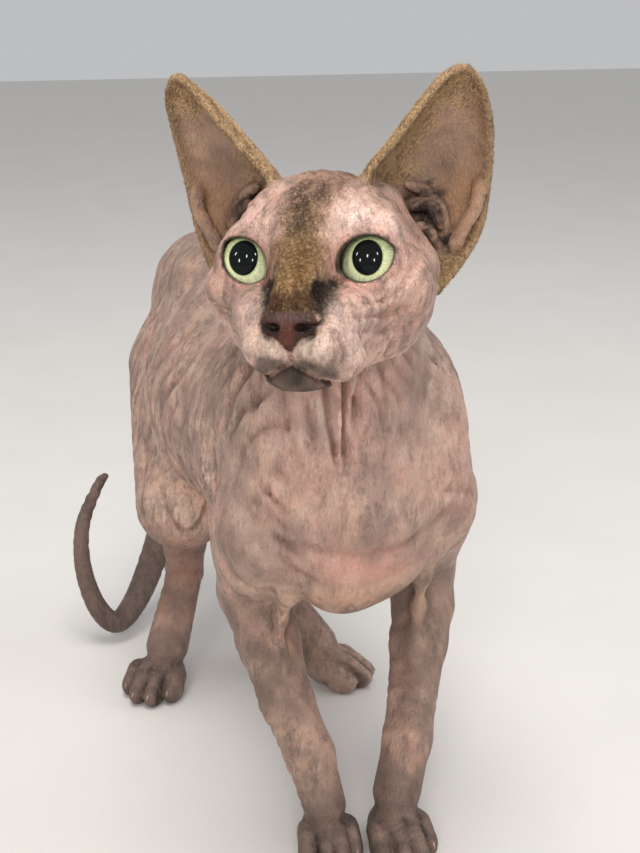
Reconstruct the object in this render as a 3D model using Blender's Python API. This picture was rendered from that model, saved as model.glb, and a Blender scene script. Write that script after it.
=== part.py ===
"""Sphynx cat, still life-size model standing on four paws with its head turned.

The flesh is one smooth body made of named bones and bulges (millimetres, cat
facing -Y, its left at +X), turned into surfaces and parted by thin flat cuts.
"""
import math

import bmesh
import bpy
import numpy as np
from mathutils import Matrix, Vector

# Driving dimensions, millimetres and degrees
GAP = 0.3                       # air between neighbouring pieces
HEAD_YAW = 32.2                 # head turned to the cat's right
HEAD_PITCH = 11.0               # face lifted
HEAD_ROLL = -2.5                # left ear a little higher
HEAD_AT = (-36.4, -61.0, 297.0)  # middle between the eyeballs
EYE_SIDE = 22.2                 # half the distance between the eyeballs
EYE_RADIUS = 11.0
CORNEA_RISE = 0.7               # bulge of the clear front of the eye
CORNEA_RADIUS = 8.2
GAZE_OUT = 2.0                  # eyes turned outwards
GAZE_UP = 9.0                   # and up
LID_RADIUS = 13.0               # outside of the lids, from the eye's centre
LID_SLANT = 19.0                # outer corner of the eye higher
LID_HALF_WIDTH = 10.0
UPPER_LID_RISE = 8.2
LOWER_LID_DROP = 7.3
EAR_WALL_ROOT = 2.6
EAR_WALL_RIM = 1.4
EAR_CUP = 0.42                  # depth of the cup per width
LIMB_BLEND = 14.0               # softness of the joins of the limbs
HEAD_BLEND = 14.0               # and of the neck
PALM_HEIGHT = 10.3              # middle of a paw over the floor
TOE_HEIGHT = 6.5
KNUCKLE_HEIGHT = 12.0
HEAD_CELL = 1.15                # grid of the head's surface
PAW_CELL = 1.5
BODY_CELL = 2.6

# Toes of a paw: how far sideways in paw widths, and how far forward
TOES = ((-0.37, 3.5), (-0.13, 11), (0.13, 11), (0.37, 3.5))

# Triangles kept in each piece's source
HEAD_TRIANGLES = 5400
TRUNK_TRIANGLES = 3800
LEG_TRIANGLES = 1000
TAIL_TRIANGLES = 800

# Edges of the left ear in head space, from the foot to the tip
EAR_INNER_EDGE = [(16.5, 17, 26), (19.5, 17, 33.5), (29, 15, 44), (39.5, 14, 57), (45.5, 15, 64.5), (50, 18, 68.5),
                  (53, 21, 69.8)]
EAR_OUTER_EDGE = [(43, 37, -10), (51, 47, 1), (57.5, 52, 14), (60.5, 50, 32), (62, 42, 49), (60.5, 31, 61),
                  (57.5, 25, 67), (54.5, 22, 69.8)]
RIGHT_EAR_LEAN = 2.5            # the right ear's tip this much further out
EAR_SHIFT = -1.0                # both ears a little to the right

# Tail centre line and radius
TAIL_LINE = [(0, 276, 226, 14), (-1, 296, 202, 12), (-6, 302, 162, 10.5), (-9, 296, 112, 10.3),
             (-18, 281, 62, 9.6), (-34, 264, 32, 8.6), (-50, 246, 16.5, 7.5), (-63, 236, 13, 6.6),
             (-74, 236, 27, 6.0), (-80, 240, 52, 5.2), (-78, 245, 78, 4.4), (-66, 252, 100, 3.2),
             (-61, 254, 105, 2.4)]


# Smooth distance fields
def blend(a, b, k):
    h = np.clip(k - np.abs(a - b), 0.0, None) / k
    return np.minimum(a, b) - h * h * k * 0.25


def carve(a, b, k):
    return -blend(-a, b, k)


def ellipsoid(p, centre, radii, turn=None):
    q = p - np.asarray(centre, np.float32)
    if turn is not None:
        q = q @ np.asarray(turn, np.float32)
    r = np.asarray(radii, np.float32)
    k0 = np.linalg.norm(q / r, axis=1)
    k1 = np.linalg.norm(q / (r * r), axis=1)
    return k0 * (k0 - 1.0) / np.maximum(k1, 1e-6)


def bone(p, a, b, ra, rb):
    a = np.asarray(a, np.float32)
    ab = np.asarray(b, np.float32) - a
    t = np.clip(((p - a) @ ab) / float(ab @ ab), 0, 1)
    q = p - a - t[:, None] * ab
    return np.linalg.norm(q, axis=1) - (ra + (rb - ra) * t)


def turn_about(axis, degrees):
    return np.array(Matrix.Rotation(math.radians(degrees), 3, Vector(axis)))


def smooth_line(points, steps):
    pts = np.asarray(points, float)
    pts = np.vstack([2 * pts[0] - pts[1], pts, 2 * pts[-1] - pts[-2]])
    out = []
    for i in range(1, len(pts) - 2):
        a, b, c, d = pts[i - 1:i + 3]
        for t in np.linspace(0, 1, steps, endpoint=False):
            out.append(0.5 * (2 * b + (c - a) * t + (2 * a - 5 * b + 4 * c - d) * t * t
                              + (3 * b - a - 3 * c + d) * t ** 3))
    out.append(pts[-2])
    return np.array(out)


class Form:
    """Distance to a body built up part by part, each read only near itself."""

    def __init__(self, p):
        self.p = p
        self.d = np.full(len(p), 60.0, np.float32)

    def near(self, lo, hi, margin):
        lo = np.asarray(lo, np.float32) - margin
        hi = np.asarray(hi, np.float32) + margin
        return np.flatnonzero(((self.p > lo) & (self.p < hi)).all(1))

    def add(self, part, lo, hi, k):
        i = self.near(lo, hi, k + 12)
        if len(i):
            self.d[i] = blend(self.d[i], part(self.p[i]), k)

    def cut(self, part, lo, hi, k):
        i = self.near(lo, hi, k + 6)
        if len(i):
            self.d[i] = carve(self.d[i], part(self.p[i]), k)

    def ball(self, centre, radii, k, turn=None):
        c = np.asarray(centre, float)
        r = max(radii)
        self.add(lambda q: ellipsoid(q, centre, radii, turn), c - r, c + r, k)

    def limb(self, a, b, ra, rb, k):
        lo = np.minimum(a, b) - max(ra, rb)
        hi = np.maximum(a, b) + max(ra, rb)
        self.add(lambda q: bone(q, a, b, ra, rb), lo, hi, k)

    def tube(self, rows, k):
        for a, b in zip(rows[:-1], rows[1:]):
            self.limb(a[:3], b[:3], a[3], b[3], k)

    def crease(self, line, width, depth, along=None):
        """Press a crease of a width and depth into the surface near a line, deep along one way.

        With along (an axis number) the line is followed as seen along that axis."""
        rows = smooth_line(line, 4)
        reach = 3 * width
        lo, hi = rows.min(0), rows.max(0)
        if along is not None:
            lo[along] -= 8
            hi[along] += 8
        i = self.near(lo, hi, reach)
        i = i[np.abs(self.d[i]) < 12]
        if not len(i):
            return
        q = self.p[i].astype(float)
        if along is not None:
            q[:, along] = 0
            rows = rows.copy()
            rows[:, along] = 0
        away = np.full(len(q), 1e3)
        for a, b in zip(rows[:-1], rows[1:]):
            away = np.minimum(away, bone(q, a, b, 0.0, 0.0))
        self.d[i] += (depth * np.exp(-(away / width) ** 2)).astype(np.float32)


def head_axes():
    """Columns: the head's left, back and up in the body's frame."""
    yaw, pitch = math.radians(HEAD_YAW), math.radians(HEAD_PITCH)
    left = np.array([math.cos(yaw), -math.sin(yaw), 0.0])
    back = np.array([math.sin(yaw) * math.cos(pitch), math.cos(yaw) * math.cos(pitch), -math.sin(pitch)])
    return np.stack([left, back, np.cross(left, back)], 1) @ turn_about((0, 1, 0), HEAD_ROLL)


def eye_axes(side):
    """Columns: sideways, back and up of one eye in head space."""
    return turn_about((0, 0, 1), side * GAZE_OUT) @ turn_about((1, 0, 0), -GAZE_UP)


def eye_opening(q, side):
    """Lemon-shaped opening of the lids, seen along the face."""
    w = q - np.array([side * EYE_SIDE, 0, 0.8])
    a = math.radians(LID_SLANT)
    u = w[:, 0] * side * math.cos(a) + w[:, 2] * math.sin(a)
    v = -w[:, 0] * side * math.sin(a) + w[:, 2] * math.cos(a)
    up = (LID_HALF_WIDTH ** 2 + UPPER_LID_RISE ** 2) / (2 * UPPER_LID_RISE)
    down = (LID_HALF_WIDTH ** 2 + LOWER_LID_DROP ** 2) / (2 * LOWER_LID_DROP)
    over = np.hypot(u, v - (UPPER_LID_RISE - up)) - up
    under = np.hypot(u, v + (LOWER_LID_DROP - down)) - down
    return np.maximum(np.maximum(over, under), w[:, 1] + 1.0)


def head_form(p):
    """The head in its own space: x left, y back, z up, from between the eyeballs."""
    f = Form(p)
    # Skull, forehead and bridge of the nose
    f.ball((0, 30, 6), (33, 42, 28), 1)
    f.ball((0, 6, 10), (24, 20, 17), 14)
    f.limb((0, -6, 4), (0, -30, -15.5), 10.4, 7.8, 9)
    # Throat under the jaw
    f.ball((0, 14, -22), (22, 24, 14), 12)
    for s in (-1, 1):
        # Brow, cheekbone, jaw muscle, cheek and whisker pads
        f.ball((s * 21, 1, 11.5), (12, 10, 7), 7)
        f.ball((s * 30, 10, -9), (12, 20, 10), 10)
        f.ball((s * 28, 28, -13), (13.5, 22, 18), 12)
        f.ball((s * 15, -10, -19), (12, 15, 11), 9)
        f.ball((s * 9.5, -23.5, -29), (11.8, 12.5, 9.3), 7)
        f.limb((s * 4, -16, -36), (s * 24, 20, -26), 7.5, 10, 8)
        f.ball((s * EYE_SIDE, 0, 0.4), (LID_RADIUS + 0.3, LID_RADIUS, LID_RADIUS + 0.3), 4)
    # Nose leather with its wings, and the chin
    f.ball((0, -33.5, -21.2), (8.2, 5.5, 5.4), 3)
    f.limb((0, -35.2, -24), (0, -35.8, -28), 3.4, 2.2, 2.5)
    for s in (-1, 1):
        f.ball((s * 6.8, -32.2, -20.8), (4.0, 5.2, 3.8), 2)
    f.ball((0, -22.5, -38.2), (11.5, 10.5, 6), 4)
    for s in (-1, 1):
        f.limb((s * 3, -24, -38.6), (s * 15, -14.5, -37.2), 5.6, 5, 3)
    for s in (-1, 1):
        # Line of the mouth, nostrils
        f.crease([(0, -37, -34.6), (s * 5, -36, -36.2), (s * 11, -31, -39.0), (s * 17.5, -22, -38.2),
                  (s * 23.5, -10, -33.5), (s * 26.5, -3, -30.5)], 1.1, 1.6, 1)
        f.cut(lambda q: ellipsoid(q, (s * 4.9, -38.8, -21.9), (2.2, 4.2, 1.6)),
              (s * 4.9 - 4, -44, -25), (s * 4.9 + 4, -34, -19), 0.8)
        f.crease([(s * 5.4, -38, -21.9), (s * 8.4, -35.5, -21.2), (s * 10.4, -32, -20.4)], 0.8, 1.6)
        # Fold over the upper lid and roll under the lower one
        f.crease([(s * 11, -9, 6), (s * 16, -12, 12.5), (s * 24, -10, 14.2), (s * 32, -4, 11), (s * 36.5, 2, 5)],
                 1.5, 1.0)
        f.crease([(s * 12, -14, -8.5), (s * 18, -13, -12.5), (s * 26, -9, -11.5), (s * 33, -3, -6), (s * 36.5, 2, 0)],
                 1.5, 1.0)
        # Opening of the lids
        c = np.array([s * EYE_SIDE, 0, 0])
        f.cut(lambda q: eye_opening(q, s), c - 15, c + 15, 1.4)
    f.crease([(0, -39, -28.8), (0, -38, -31.5), (0, -37, -34.8)], 0.8, 1.1, 1)
    return f


def sockets(d, p):
    for s in (-1, 1):
        r = np.linalg.norm(p - np.array([s * EYE_SIDE, 0, 0], np.float32), axis=1)
        d = np.maximum(d, (EYE_RADIUS + GAP + 0.05) - r)
    return d


def paw(f, at, turn, width):
    """A paw at a floor point with its toes turned away from -Y towards +X."""
    a = math.radians(turn)
    ahead = np.array([math.sin(a), -math.cos(a), 0.0])
    side = np.array([math.cos(a), math.sin(a), 0.0])
    axes = np.stack([side, -ahead, (0, 0, 1)], 1)
    base = np.array([at[0], at[1], 0.0])
    f.ball(base + (0, 0, PALM_HEIGHT) - ahead * 5, (width * 0.41, 17, 11), 5, axes)
    for across, forth in TOES:
        toe = base + side * width * across + ahead * forth
        f.ball(toe + (0, 0, TOE_HEIGHT), (width * 0.145, 9, 7.5), 1.4, axes)
        f.ball(toe + (0, 0, KNUCKLE_HEIGHT) - ahead * 5, (width * 0.13, 8, 6.2), 2, axes)


def trunk_form(p):
    f = Form(p)
    # Chest, withers, belly, loin and pelvis
    f.ball((6, 66, 184), (50, 84, 60), 1)
    f.ball((8, 6, 163), (41, 31, 41), 19)
    f.ball((9, 30, 208), (49, 40, 42), 22)
    f.ball((2, 150, 181), (55, 82, 60), 24)
    f.ball((4, 205, 214), (30, 62, 47), 24)
    f.ball((2, 246, 206), (28, 44, 46), 20)
    # Neck and shoulders
    f.limb((9, 38, 226), (-16, -6, 284), 45.5, 31, 22)
    for s in (-1, 1):
        f.ball((7 + s * 43, 26, 184), (17, 36, 48), 16)
    return f


def right_foreleg(p):
    f = Form(p)
    f.limb((-36, 10, 165), (-31, 36, 122), 20, 16.5, 4)
    f.limb((-31, 36, 122), (-27, 27, 98), 16.5, 14.8, 6)
    f.limb((-27, 27, 98), (-23, 12, 73), 14.6, 12.4, 4)
    f.limb((-23, 12, 73), (-16, 0, 50), 12.4, 11.6, 4)
    f.limb((-16, 0, 50), (-11.5, -8, 26), 11.3, 10.3, 4)
    paw(f, (-10.5, -12), -8, 30)
    return f.d


def left_foreleg(p):
    f = Form(p)
    f.limb((50, 12, 165), (56, 38, 120), 19, 16.5, 4)
    f.limb((56, 38, 120), (56.5, 34, 100), 16.5, 15.2, 6)
    f.limb((56.5, 34, 100), (51, 26, 84), 15, 13.8, 4)
    f.limb((51, 26, 84), (34, -1, 48), 13.6, 11.3, 5)
    f.limb((34, -1, 48), (25, -10, 26), 11.2, 11.6, 5)
    paw(f, (22.5, -21), 2, 32)
    return f.d


def right_hindleg(p):
    f = Form(p)
    f.limb((-14, 222, 180), (-35, 158, 120), 34, 26, 4)
    f.limb((-33, 162, 112), (-29.5, 182, 70), 15, 10.8, 8)
    f.ball((-29.5, 191, 68), (6, 7, 9), 6)
    f.limb((-29.5, 183, 64), (-44.5, 169, 27), 10.4, 12.3, 5)
    paw(f, (-53.5, 164), -40, 36)
    return f.d


def left_hindleg(p):
    f = Form(p)
    f.limb((16, 222, 180), (37, 158, 120), 34, 26, 4)
    f.limb((35, 162, 112), (23, 180, 62), 15, 11, 8)
    f.ball((21, 189, 60), (6, 7, 9), 6)
    f.limb((22, 180, 54), (44, 154, 20), 10.6, 11.5, 6)
    paw(f, (53, 140), 58, 34)
    return f.d


def tail(p):
    f = Form(p)
    f.tube(smooth_line(TAIL_LINE, 5), 0.5)
    return f.d


def trunk_with(*limbs):
    """Field of the trunk and head joined to some limbs, the limbs kept apart."""
    def field(p):
        f = trunk_form(p)
        if limbs:
            apart = limbs[0](p)
            for other in limbs[1:]:
                apart = np.minimum(apart, other(p))
            f.d = blend(f.d, apart, LIMB_BLEND)
        at = np.asarray(HEAD_AT, np.float32)
        i = f.near(at - 70, at + 70, 0)
        if len(i):
            q = ((f.p[i] - at) @ head_axes()).astype(np.float32)
            f.d[i] = sockets(blend(f.d[i], head_form(q).d, HEAD_BLEND), q)
        return f.d
    return field


# From fields to meshes
def lattice_values(field, lo, hi, cell):
    """Field on a grid, worked out finely only near the surface."""
    step = 4
    lo = np.asarray(lo, float)
    n = np.ceil((np.asarray(hi, float) - lo) / cell / step).astype(int) + 1
    axes = [lo[i] + cell * step * np.arange(n[i]) for i in range(3)]
    grid = np.stack(np.meshgrid(*axes, indexing="ij"), -1).reshape(-1, 3).astype(np.float32)
    rough = field(grid).reshape(n)
    close = np.abs(rough) < cell * step * 1.9
    for axis in range(3):
        ahead = [slice(None)] * 3
        behind = [slice(None)] * 3
        ahead[axis] = slice(1, None)
        behind[axis] = slice(None, -1)
        wider = close.copy()
        wider[tuple(behind)] |= close[tuple(ahead)]
        close = wider

    def fine(block):
        for axis in range(3):
            block = np.repeat(block, step, axis)
        return block

    values = fine(np.where(rough < 0, -9.0, 9.0).astype(np.float32))
    mask = fine(close)
    points = (lo + np.argwhere(mask) * cell).astype(np.float32)
    chunk = 300000
    found = [field(points[i:i + chunk]) for i in range(0, len(points), chunk)]
    values[mask] = np.concatenate(found)
    for axis in range(3):
        edge = [slice(None)] * 3
        for end in (0, -1):
            edge[axis] = end
            values[tuple(edge)] = np.maximum(values[tuple(edge)], 0.5 * cell)
    return values, lo


def settled(values, cell):
    """Fill grid corners where two sheets would meet along an edge."""
    for _ in range(8):
        found = False
        for a, b in ((0, 1), (0, 2), (1, 2)):
            def corner(i, j):
                cut = [slice(None)] * 3
                cut[a] = slice(i, values.shape[a] - 1 + i)
                cut[b] = slice(j, values.shape[b] - 1 + j)
                return tuple(cut)
            inside = [[values[corner(i, j)] < 0 for j in (0, 1)] for i in (0, 1)]
            crossed = (inside[0][0] == inside[1][1]) & (inside[0][1] == inside[1][0])
            crossed &= inside[0][0] != inside[0][1]
            if crossed.any():
                found = True
                for i in (0, 1):
                    for j in (0, 1):
                        view = values[corner(i, j)]
                        view[crossed & ~inside[i][j]] = -0.03 * cell
        if not found:
            return values
    return values


def surface(field, lo, hi, cell):
    """Vertices and quads of the zero level, one vertex per crossed cell."""
    values, lo = lattice_values(field, lo, hi, cell)
    values = settled(values, cell)
    inside = values < 0
    n = [s - 1 for s in values.shape]
    count = np.zeros(n, np.int8)
    for dx in (0, 1):
        for dy in (0, 1):
            for dz in (0, 1):
                count += inside[dx:dx + n[0], dy:dy + n[1], dz:dz + n[2]]
    crossed = (count > 0) & (count < 8)
    cells = np.argwhere(crossed)
    number = np.full(n, -1, np.int64)
    number[crossed] = np.arange(len(cells))
    total = np.zeros((len(cells), 3))
    hits = np.zeros(len(cells))
    for axis in range(3):
        others = [x for x in range(3) if x != axis]
        for a in (0, 1):
            for b in (0, 1):
                start = np.zeros(3, int)
                start[others] = (a, b)
                end = start.copy()
                end[axis] = 1
                v0 = values[tuple((cells + start).T)]
                v1 = values[tuple((cells + end).T)]
                hit = (v0 < 0) != (v1 < 0)
                t = np.where(hit, v0 / np.where(hit, v0 - v1, 1), 0)
                spot = np.zeros((len(cells), 3))
                spot[:, others] = (a, b)
                spot[:, axis] = t
                total += spot * hit[:, None]
                hits += hit
    verts = lo + (cells + total / hits[:, None]) * cell
    quads = []
    for axis in range(3):
        others = [x for x in range(3) if x != axis]
        first = [slice(1, -1)] * 3
        second = [slice(1, -1)] * 3
        first[axis] = slice(0, -1)
        second[axis] = slice(1, None)
        edges = np.argwhere(inside[tuple(first)] != inside[tuple(second)])
        shift = np.ones(3, int)
        shift[axis] = 0
        edges = edges + shift
        ring = []
        for a, b in ((-1, -1), (0, -1), (0, 0), (-1, 0)):
            offset = np.zeros(3, int)
            offset[others] = (a, b)
            ring.append(number[tuple((edges + offset).T)])
        ring = np.stack(ring, 1)
        flip = inside[tuple(edges.T)] != (axis == 1)
        ring[~flip] = ring[~flip][:, ::-1]
        quads.append(ring)
    return verts, np.concatenate(quads)


def new_mesh(name, verts, faces):
    mesh = bpy.data.meshes.new(name)
    mesh.from_pydata([tuple(v) for v in verts], [], [tuple(int(i) for i in f) for f in faces])
    return mesh


def thinned(mesh, triangles, keep=None):
    """The mesh with fewer triangles; keep gives each vertex how freely it may go (0 to 1)."""
    thing = bpy.data.objects.new("thinning", mesh)
    bpy.context.scene.collection.objects.link(thing)
    few = thing.modifiers.new("fewer", 'DECIMATE')
    few.ratio = min(1.0, triangles / sum(len(p.vertices) - 2 for p in mesh.polygons))
    if keep is not None:
        group = thing.vertex_groups.new(name="keep")
        for level in np.unique(np.round(keep, 1)):
            picked = np.flatnonzero(np.round(keep, 1) == level)
            group.add([int(i) for i in picked], float(level), 'REPLACE')
        few.vertex_group = "keep"
        few.vertex_group_factor = 1.0
    graph = bpy.context.evaluated_depsgraph_get()
    out = bpy.data.meshes.new_from_object(thing.evaluated_get(graph))
    bpy.data.objects.remove(thing)
    return out


def largest(bm):
    """Drop all but the biggest closed piece."""
    left = set(bm.faces)
    pieces = []
    while left:
        stack = [left.pop()]
        piece = list(stack)
        while stack:
            for e in stack.pop().edges:
                for g in e.link_faces:
                    if g in left:
                        left.remove(g)
                        stack.append(g)
                        piece.append(g)
        pieces.append(piece)
    pieces.sort(key=lambda piece: sum(g.calc_area() for g in piece))
    loose = [g for piece in pieces[:-1] for g in piece]
    if loose:
        bmesh.ops.delete(bm, geom=loose, context='FACES')


def parted(mesh, planes):
    """The part of a closed mesh behind every plane, its cuts closed with flat faces."""
    bm = bmesh.new()
    bm.from_mesh(mesh)
    for point, normal in planes:
        everything = bm.verts[:] + bm.edges[:] + bm.faces[:]
        bmesh.ops.bisect_plane(bm, geom=everything, dist=0.0001, plane_co=point, plane_no=normal,
                               clear_outer=True)
        rim = [e for e in bm.edges if e.is_boundary]
        if rim:
            bmesh.ops.triangle_fill(bm, use_beauty=True, use_dissolve=False, edges=rim, normal=normal)
    bmesh.ops.remove_doubles(bm, verts=bm.verts, dist=0.0005)
    largest(bm)
    bmesh.ops.recalc_face_normals(bm, faces=bm.faces)
    out = bpy.data.meshes.new("parted")
    bm.to_mesh(out)
    bm.free()
    return out


def behind(cut):
    point, normal = Vector(cut[0]), Vector(cut[1]).normalized()
    return point - normal * GAP / 2, normal


def beyond(cut):
    point, normal = Vector(cut[0]), Vector(cut[1]).normalized()
    return point + normal * GAP / 2, -normal


def from_head(point, direction):
    """A cut given in head space."""
    axes = head_axes()
    return tuple(axes @ np.array(point, float) + HEAD_AT), tuple(axes @ np.array(direction, float))


# Flat cuts between the pieces: a point and the way towards the tail or the toes
NECK_TOP = from_head((0, 60, 8), (0, 0.77, -0.64))
NECK_BASE = ((4, 25, 243), (0.25, 0.35, -0.9))
CHEST_BACK = ((0, 96, 190), (0, 1, 0))
BELLY_BACK = ((0, 176, 195), (0, 0.83, -0.557))
RIGHT_ELBOW = ((-30, 30, 110), (-0.25, 0, -0.97))
LEFT_ELBOW = ((56, 36, 110), (0.25, 0, -0.97))
RIGHT_WRIST = ((-17, 1, 52), (0.19, -0.45, -0.87))
LEFT_WRIST = ((35, 1, 48), (-0.35, -0.5, -0.79))
RIGHT_FOREPAW = ((-13, -7, 25), (0.1, -0.35, -0.93))
LEFT_FOREPAW = ((24, -10, 25), (-0.15, -0.35, -0.93))
RIGHT_GROIN = ((-8, 200, 128), (-0.847, 0, -0.532))
LEFT_GROIN = ((8, 200, 128), (0.847, 0, -0.532))
RIGHT_KNEE = ((-33, 168, 98), (0.1, 0.3, -0.95))
LEFT_KNEE = ((34, 168, 98), (-0.2, 0.19, -0.96))
RIGHT_HOCK = ((-30, 182, 62), (-0.12, -0.05, -0.99))
LEFT_HOCK = ((22.5, 179, 54), (0.17, -0.2, -0.96))
RIGHT_HINDPAW = ((-42, 170, 26), (-0.36, -0.4, -0.84))
LEFT_HINDPAW = ((43, 155, 22), (0.62, -0.6, -0.5))
TAIL_ROOT = ((0, 295, 205), (0, 0.9, -0.43))
TAIL_UPPER = ((-10, 297, 125), (-0.1, -0.1, -0.99))
TAIL_LOWER = ((-26, 272, 45), (-0.4, -0.45, -0.8))
TAIL_BEND = ((-77, 237, 38), (-0.5, 0.1, 0.86))
TAIL_INSIDE = ((-52, 240, 60), (-1, 0, 0))
FLOOR = ((0, 0, -GAP / 2), (0, 0, -1))


def source(field, lo, hi, cell, triangles, keep=None):
    verts, quads = surface(field, lo, hi, cell)
    mesh = new_mesh("source", verts, quads)
    weights = keep(verts) if keep else None
    return thinned(mesh, triangles, weights)


def face_detail(verts):
    """How freely a vertex of the head may go: little around the eyes, nose and mouth."""
    q = (verts - np.array(HEAD_AT)) @ head_axes()
    free = np.ones(len(q))
    spots = [((EYE_SIDE, -8, 0), 13), ((-EYE_SIDE, -8, 0), 13), ((0, -31, -23), 11),
             ((10, -26, -37), 12), ((-10, -26, -37), 12), ((22, -12, -34), 8), ((-22, -12, -34), 8)]
    for centre, reach in spots:
        away = np.linalg.norm(q - np.array(centre), axis=1) / reach
        free = np.minimum(free, np.clip(0.25 + 0.75 * (away - 0.8) / 0.6, 0.25, 1.0))
    return free


# Ears and eyes
def ear_sheet(side, across=15, along=19):
    """Middle surface of an ear: rows from foot to tip, each an arc from the inner to the outer edge."""
    inner = smooth_line(EAR_INNER_EDGE, 12)
    outer = smooth_line(EAR_OUTER_EDGE, 12)
    def at(line, v):
        x = v * (len(line) - 1)
        i = min(int(x), len(line) - 2)
        return line[i] + (line[i + 1] - line[i]) * (x - i)
    length = (inner[-1] + outer[-1] - inner[0] - outer[0]) / 2
    rows = []
    for j in range(along):
        v = j / (along - 1)
        a, b = at(inner, v), at(outer, v)
        back = np.cross(b - a, length)
        back = -back / np.linalg.norm(back) if back[1] < 0 else back / np.linalg.norm(back)
        deep = EAR_CUP * np.linalg.norm(b - a) * (1 - 0.55 * v)
        u = np.linspace(0, 1, across)[:, None]
        rows.append((a + (b - a) * u + back * deep * np.sin(math.pi * u) ** 0.8) * (side, 1, 1))
    return np.array(rows)


def ear_solid(side):
    sheet = ear_sheet(side)
    along, across, _ = sheet.shape
    du = np.gradient(sheet, axis=1)
    dv = np.gradient(sheet, axis=0)
    normal = np.cross(du, dv)
    normal /= np.linalg.norm(normal, axis=2, keepdims=True)
    wall = np.linspace(EAR_WALL_ROOT, EAR_WALL_RIM, along)[:, None, None] / 2
    verts = np.concatenate([(sheet + normal * wall).reshape(-1, 3), (sheet - normal * wall).reshape(-1, 3)])
    if side < 0:
        verts[:, 0] -= RIGHT_EAR_LEAN * np.clip(verts[:, 2] / 70, 0, 1) ** 2
    verts = (verts + (EAR_SHIFT, 0, 0)) @ head_axes().T + HEAD_AT
    n = along * across
    faces = []
    for j in range(along - 1):
        for i in range(across - 1):
            a, b = j * across + i, j * across + i + 1
            c, d = b + across, a + across
            faces += [(a, b, c), (a, c, d), (n + a, n + c, n + b), (n + a, n + d, n + c)]
    ring = [i for i in range(across)] + [j * across + across - 1 for j in range(1, along)]
    ring += [(along - 1) * across + i for i in range(across - 2, -1, -1)]
    ring += [j * across for j in range(along - 2, 0, -1)]
    for a, b in zip(ring, ring[1:] + ring[:1]):
        faces += [(b, a, n + a), (b, n + a, n + b)]
    mesh = new_mesh("ear", verts, faces)
    bm = bmesh.new()
    bm.from_mesh(mesh)
    bmesh.ops.remove_doubles(bm, verts=bm.verts, dist=0.0001)
    bmesh.ops.recalc_face_normals(bm, faces=bm.faces)
    bm.to_mesh(mesh)
    bm.free()
    return mesh


def without(mesh, body, air):
    """The mesh less a body grown by some air, by an exact cut."""
    grown = body.copy()
    spots = np.zeros(len(grown.vertices) * 3)
    normals = np.zeros_like(spots)
    grown.vertices.foreach_get("co", spots)
    grown.vertex_normals.foreach_get("vector", normals)
    grown.vertices.foreach_set("co", spots + normals * air)
    thing = bpy.data.objects.new("cutting", mesh)
    cutter = bpy.data.objects.new("cutter", grown)
    for ob in (thing, cutter):
        bpy.context.scene.collection.objects.link(ob)
    cut = thing.modifiers.new("cut", 'BOOLEAN')
    cut.operation = 'DIFFERENCE'
    cut.solver = 'EXACT'
    cut.object = cutter
    graph = bpy.context.evaluated_depsgraph_get()
    out = bpy.data.meshes.new_from_object(thing.evaluated_get(graph))
    bpy.data.objects.remove(thing)
    bpy.data.objects.remove(cutter)
    bm = bmesh.new()
    bm.from_mesh(out)
    largest(bm)
    bmesh.ops.triangulate(bm, faces=bm.faces)
    bm.to_mesh(out)
    bm.free()
    return out


def eyeball(side, rings=14, sides=20):
    """Eyeball with its pole at the pupil and a low clear bulge in front."""
    verts = []
    for j in range(rings + 1):
        a = math.pi * j / rings
        wide = EYE_RADIUS * math.sin(a)
        t = max(0.0, 1 - (wide / CORNEA_RADIUS) ** 2) if a < math.pi / 2 else 0.0
        r = EYE_RADIUS + CORNEA_RISE * t * t * (3 - 2 * t)
        around = 1 if j in (0, rings) else sides
        for i in range(around):
            b = 2 * math.pi * i / sides
            verts.append((r * math.sin(a) * math.cos(b), -r * math.cos(a), r * math.sin(a) * math.sin(b)))
    faces = []
    def spot(j, i):
        if j == 0:
            return 0
        if j == rings:
            return len(verts) - 1
        return 1 + (j - 1) * sides + i % sides
    for j in range(rings):
        for i in range(sides):
            ring = [spot(j, i), spot(j, i + 1), spot(j + 1, i + 1), spot(j + 1, i)]
            face = [v for k, v in enumerate(ring) if v != ring[k - 1]]
            faces.append(face)
    verts = np.array(verts) @ eye_axes(side).T + (side * EYE_SIDE, 0, 0)
    return new_mesh("eye", verts @ head_axes().T + HEAD_AT, [face[::-1] for face in faces])


# Colours from the photo
SKIN = (0.50, 0.33, 0.27)
GREY_SKIN = (0.30, 0.23, 0.20)
DARK_SKIN = (0.16, 0.12, 0.11)
EAR_SKIN = (0.38, 0.25, 0.18)
EYE_GREEN = (0.50, 0.56, 0.30)


def material(name, colour, roughness):
    m = bpy.data.materials.new(name)
    m.use_nodes = True
    shader = m.node_tree.nodes["Principled BSDF"]
    shader.inputs["Base Color"].default_value = (*colour, 1)
    shader.inputs["Roughness"].default_value = roughness
    m.diffuse_color = (*colour, 1)
    return m


PIECES = []


def piece(name, mesh, colour, roughness=0.6):
    PIECES.append((name, mesh, colour, roughness))


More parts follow.
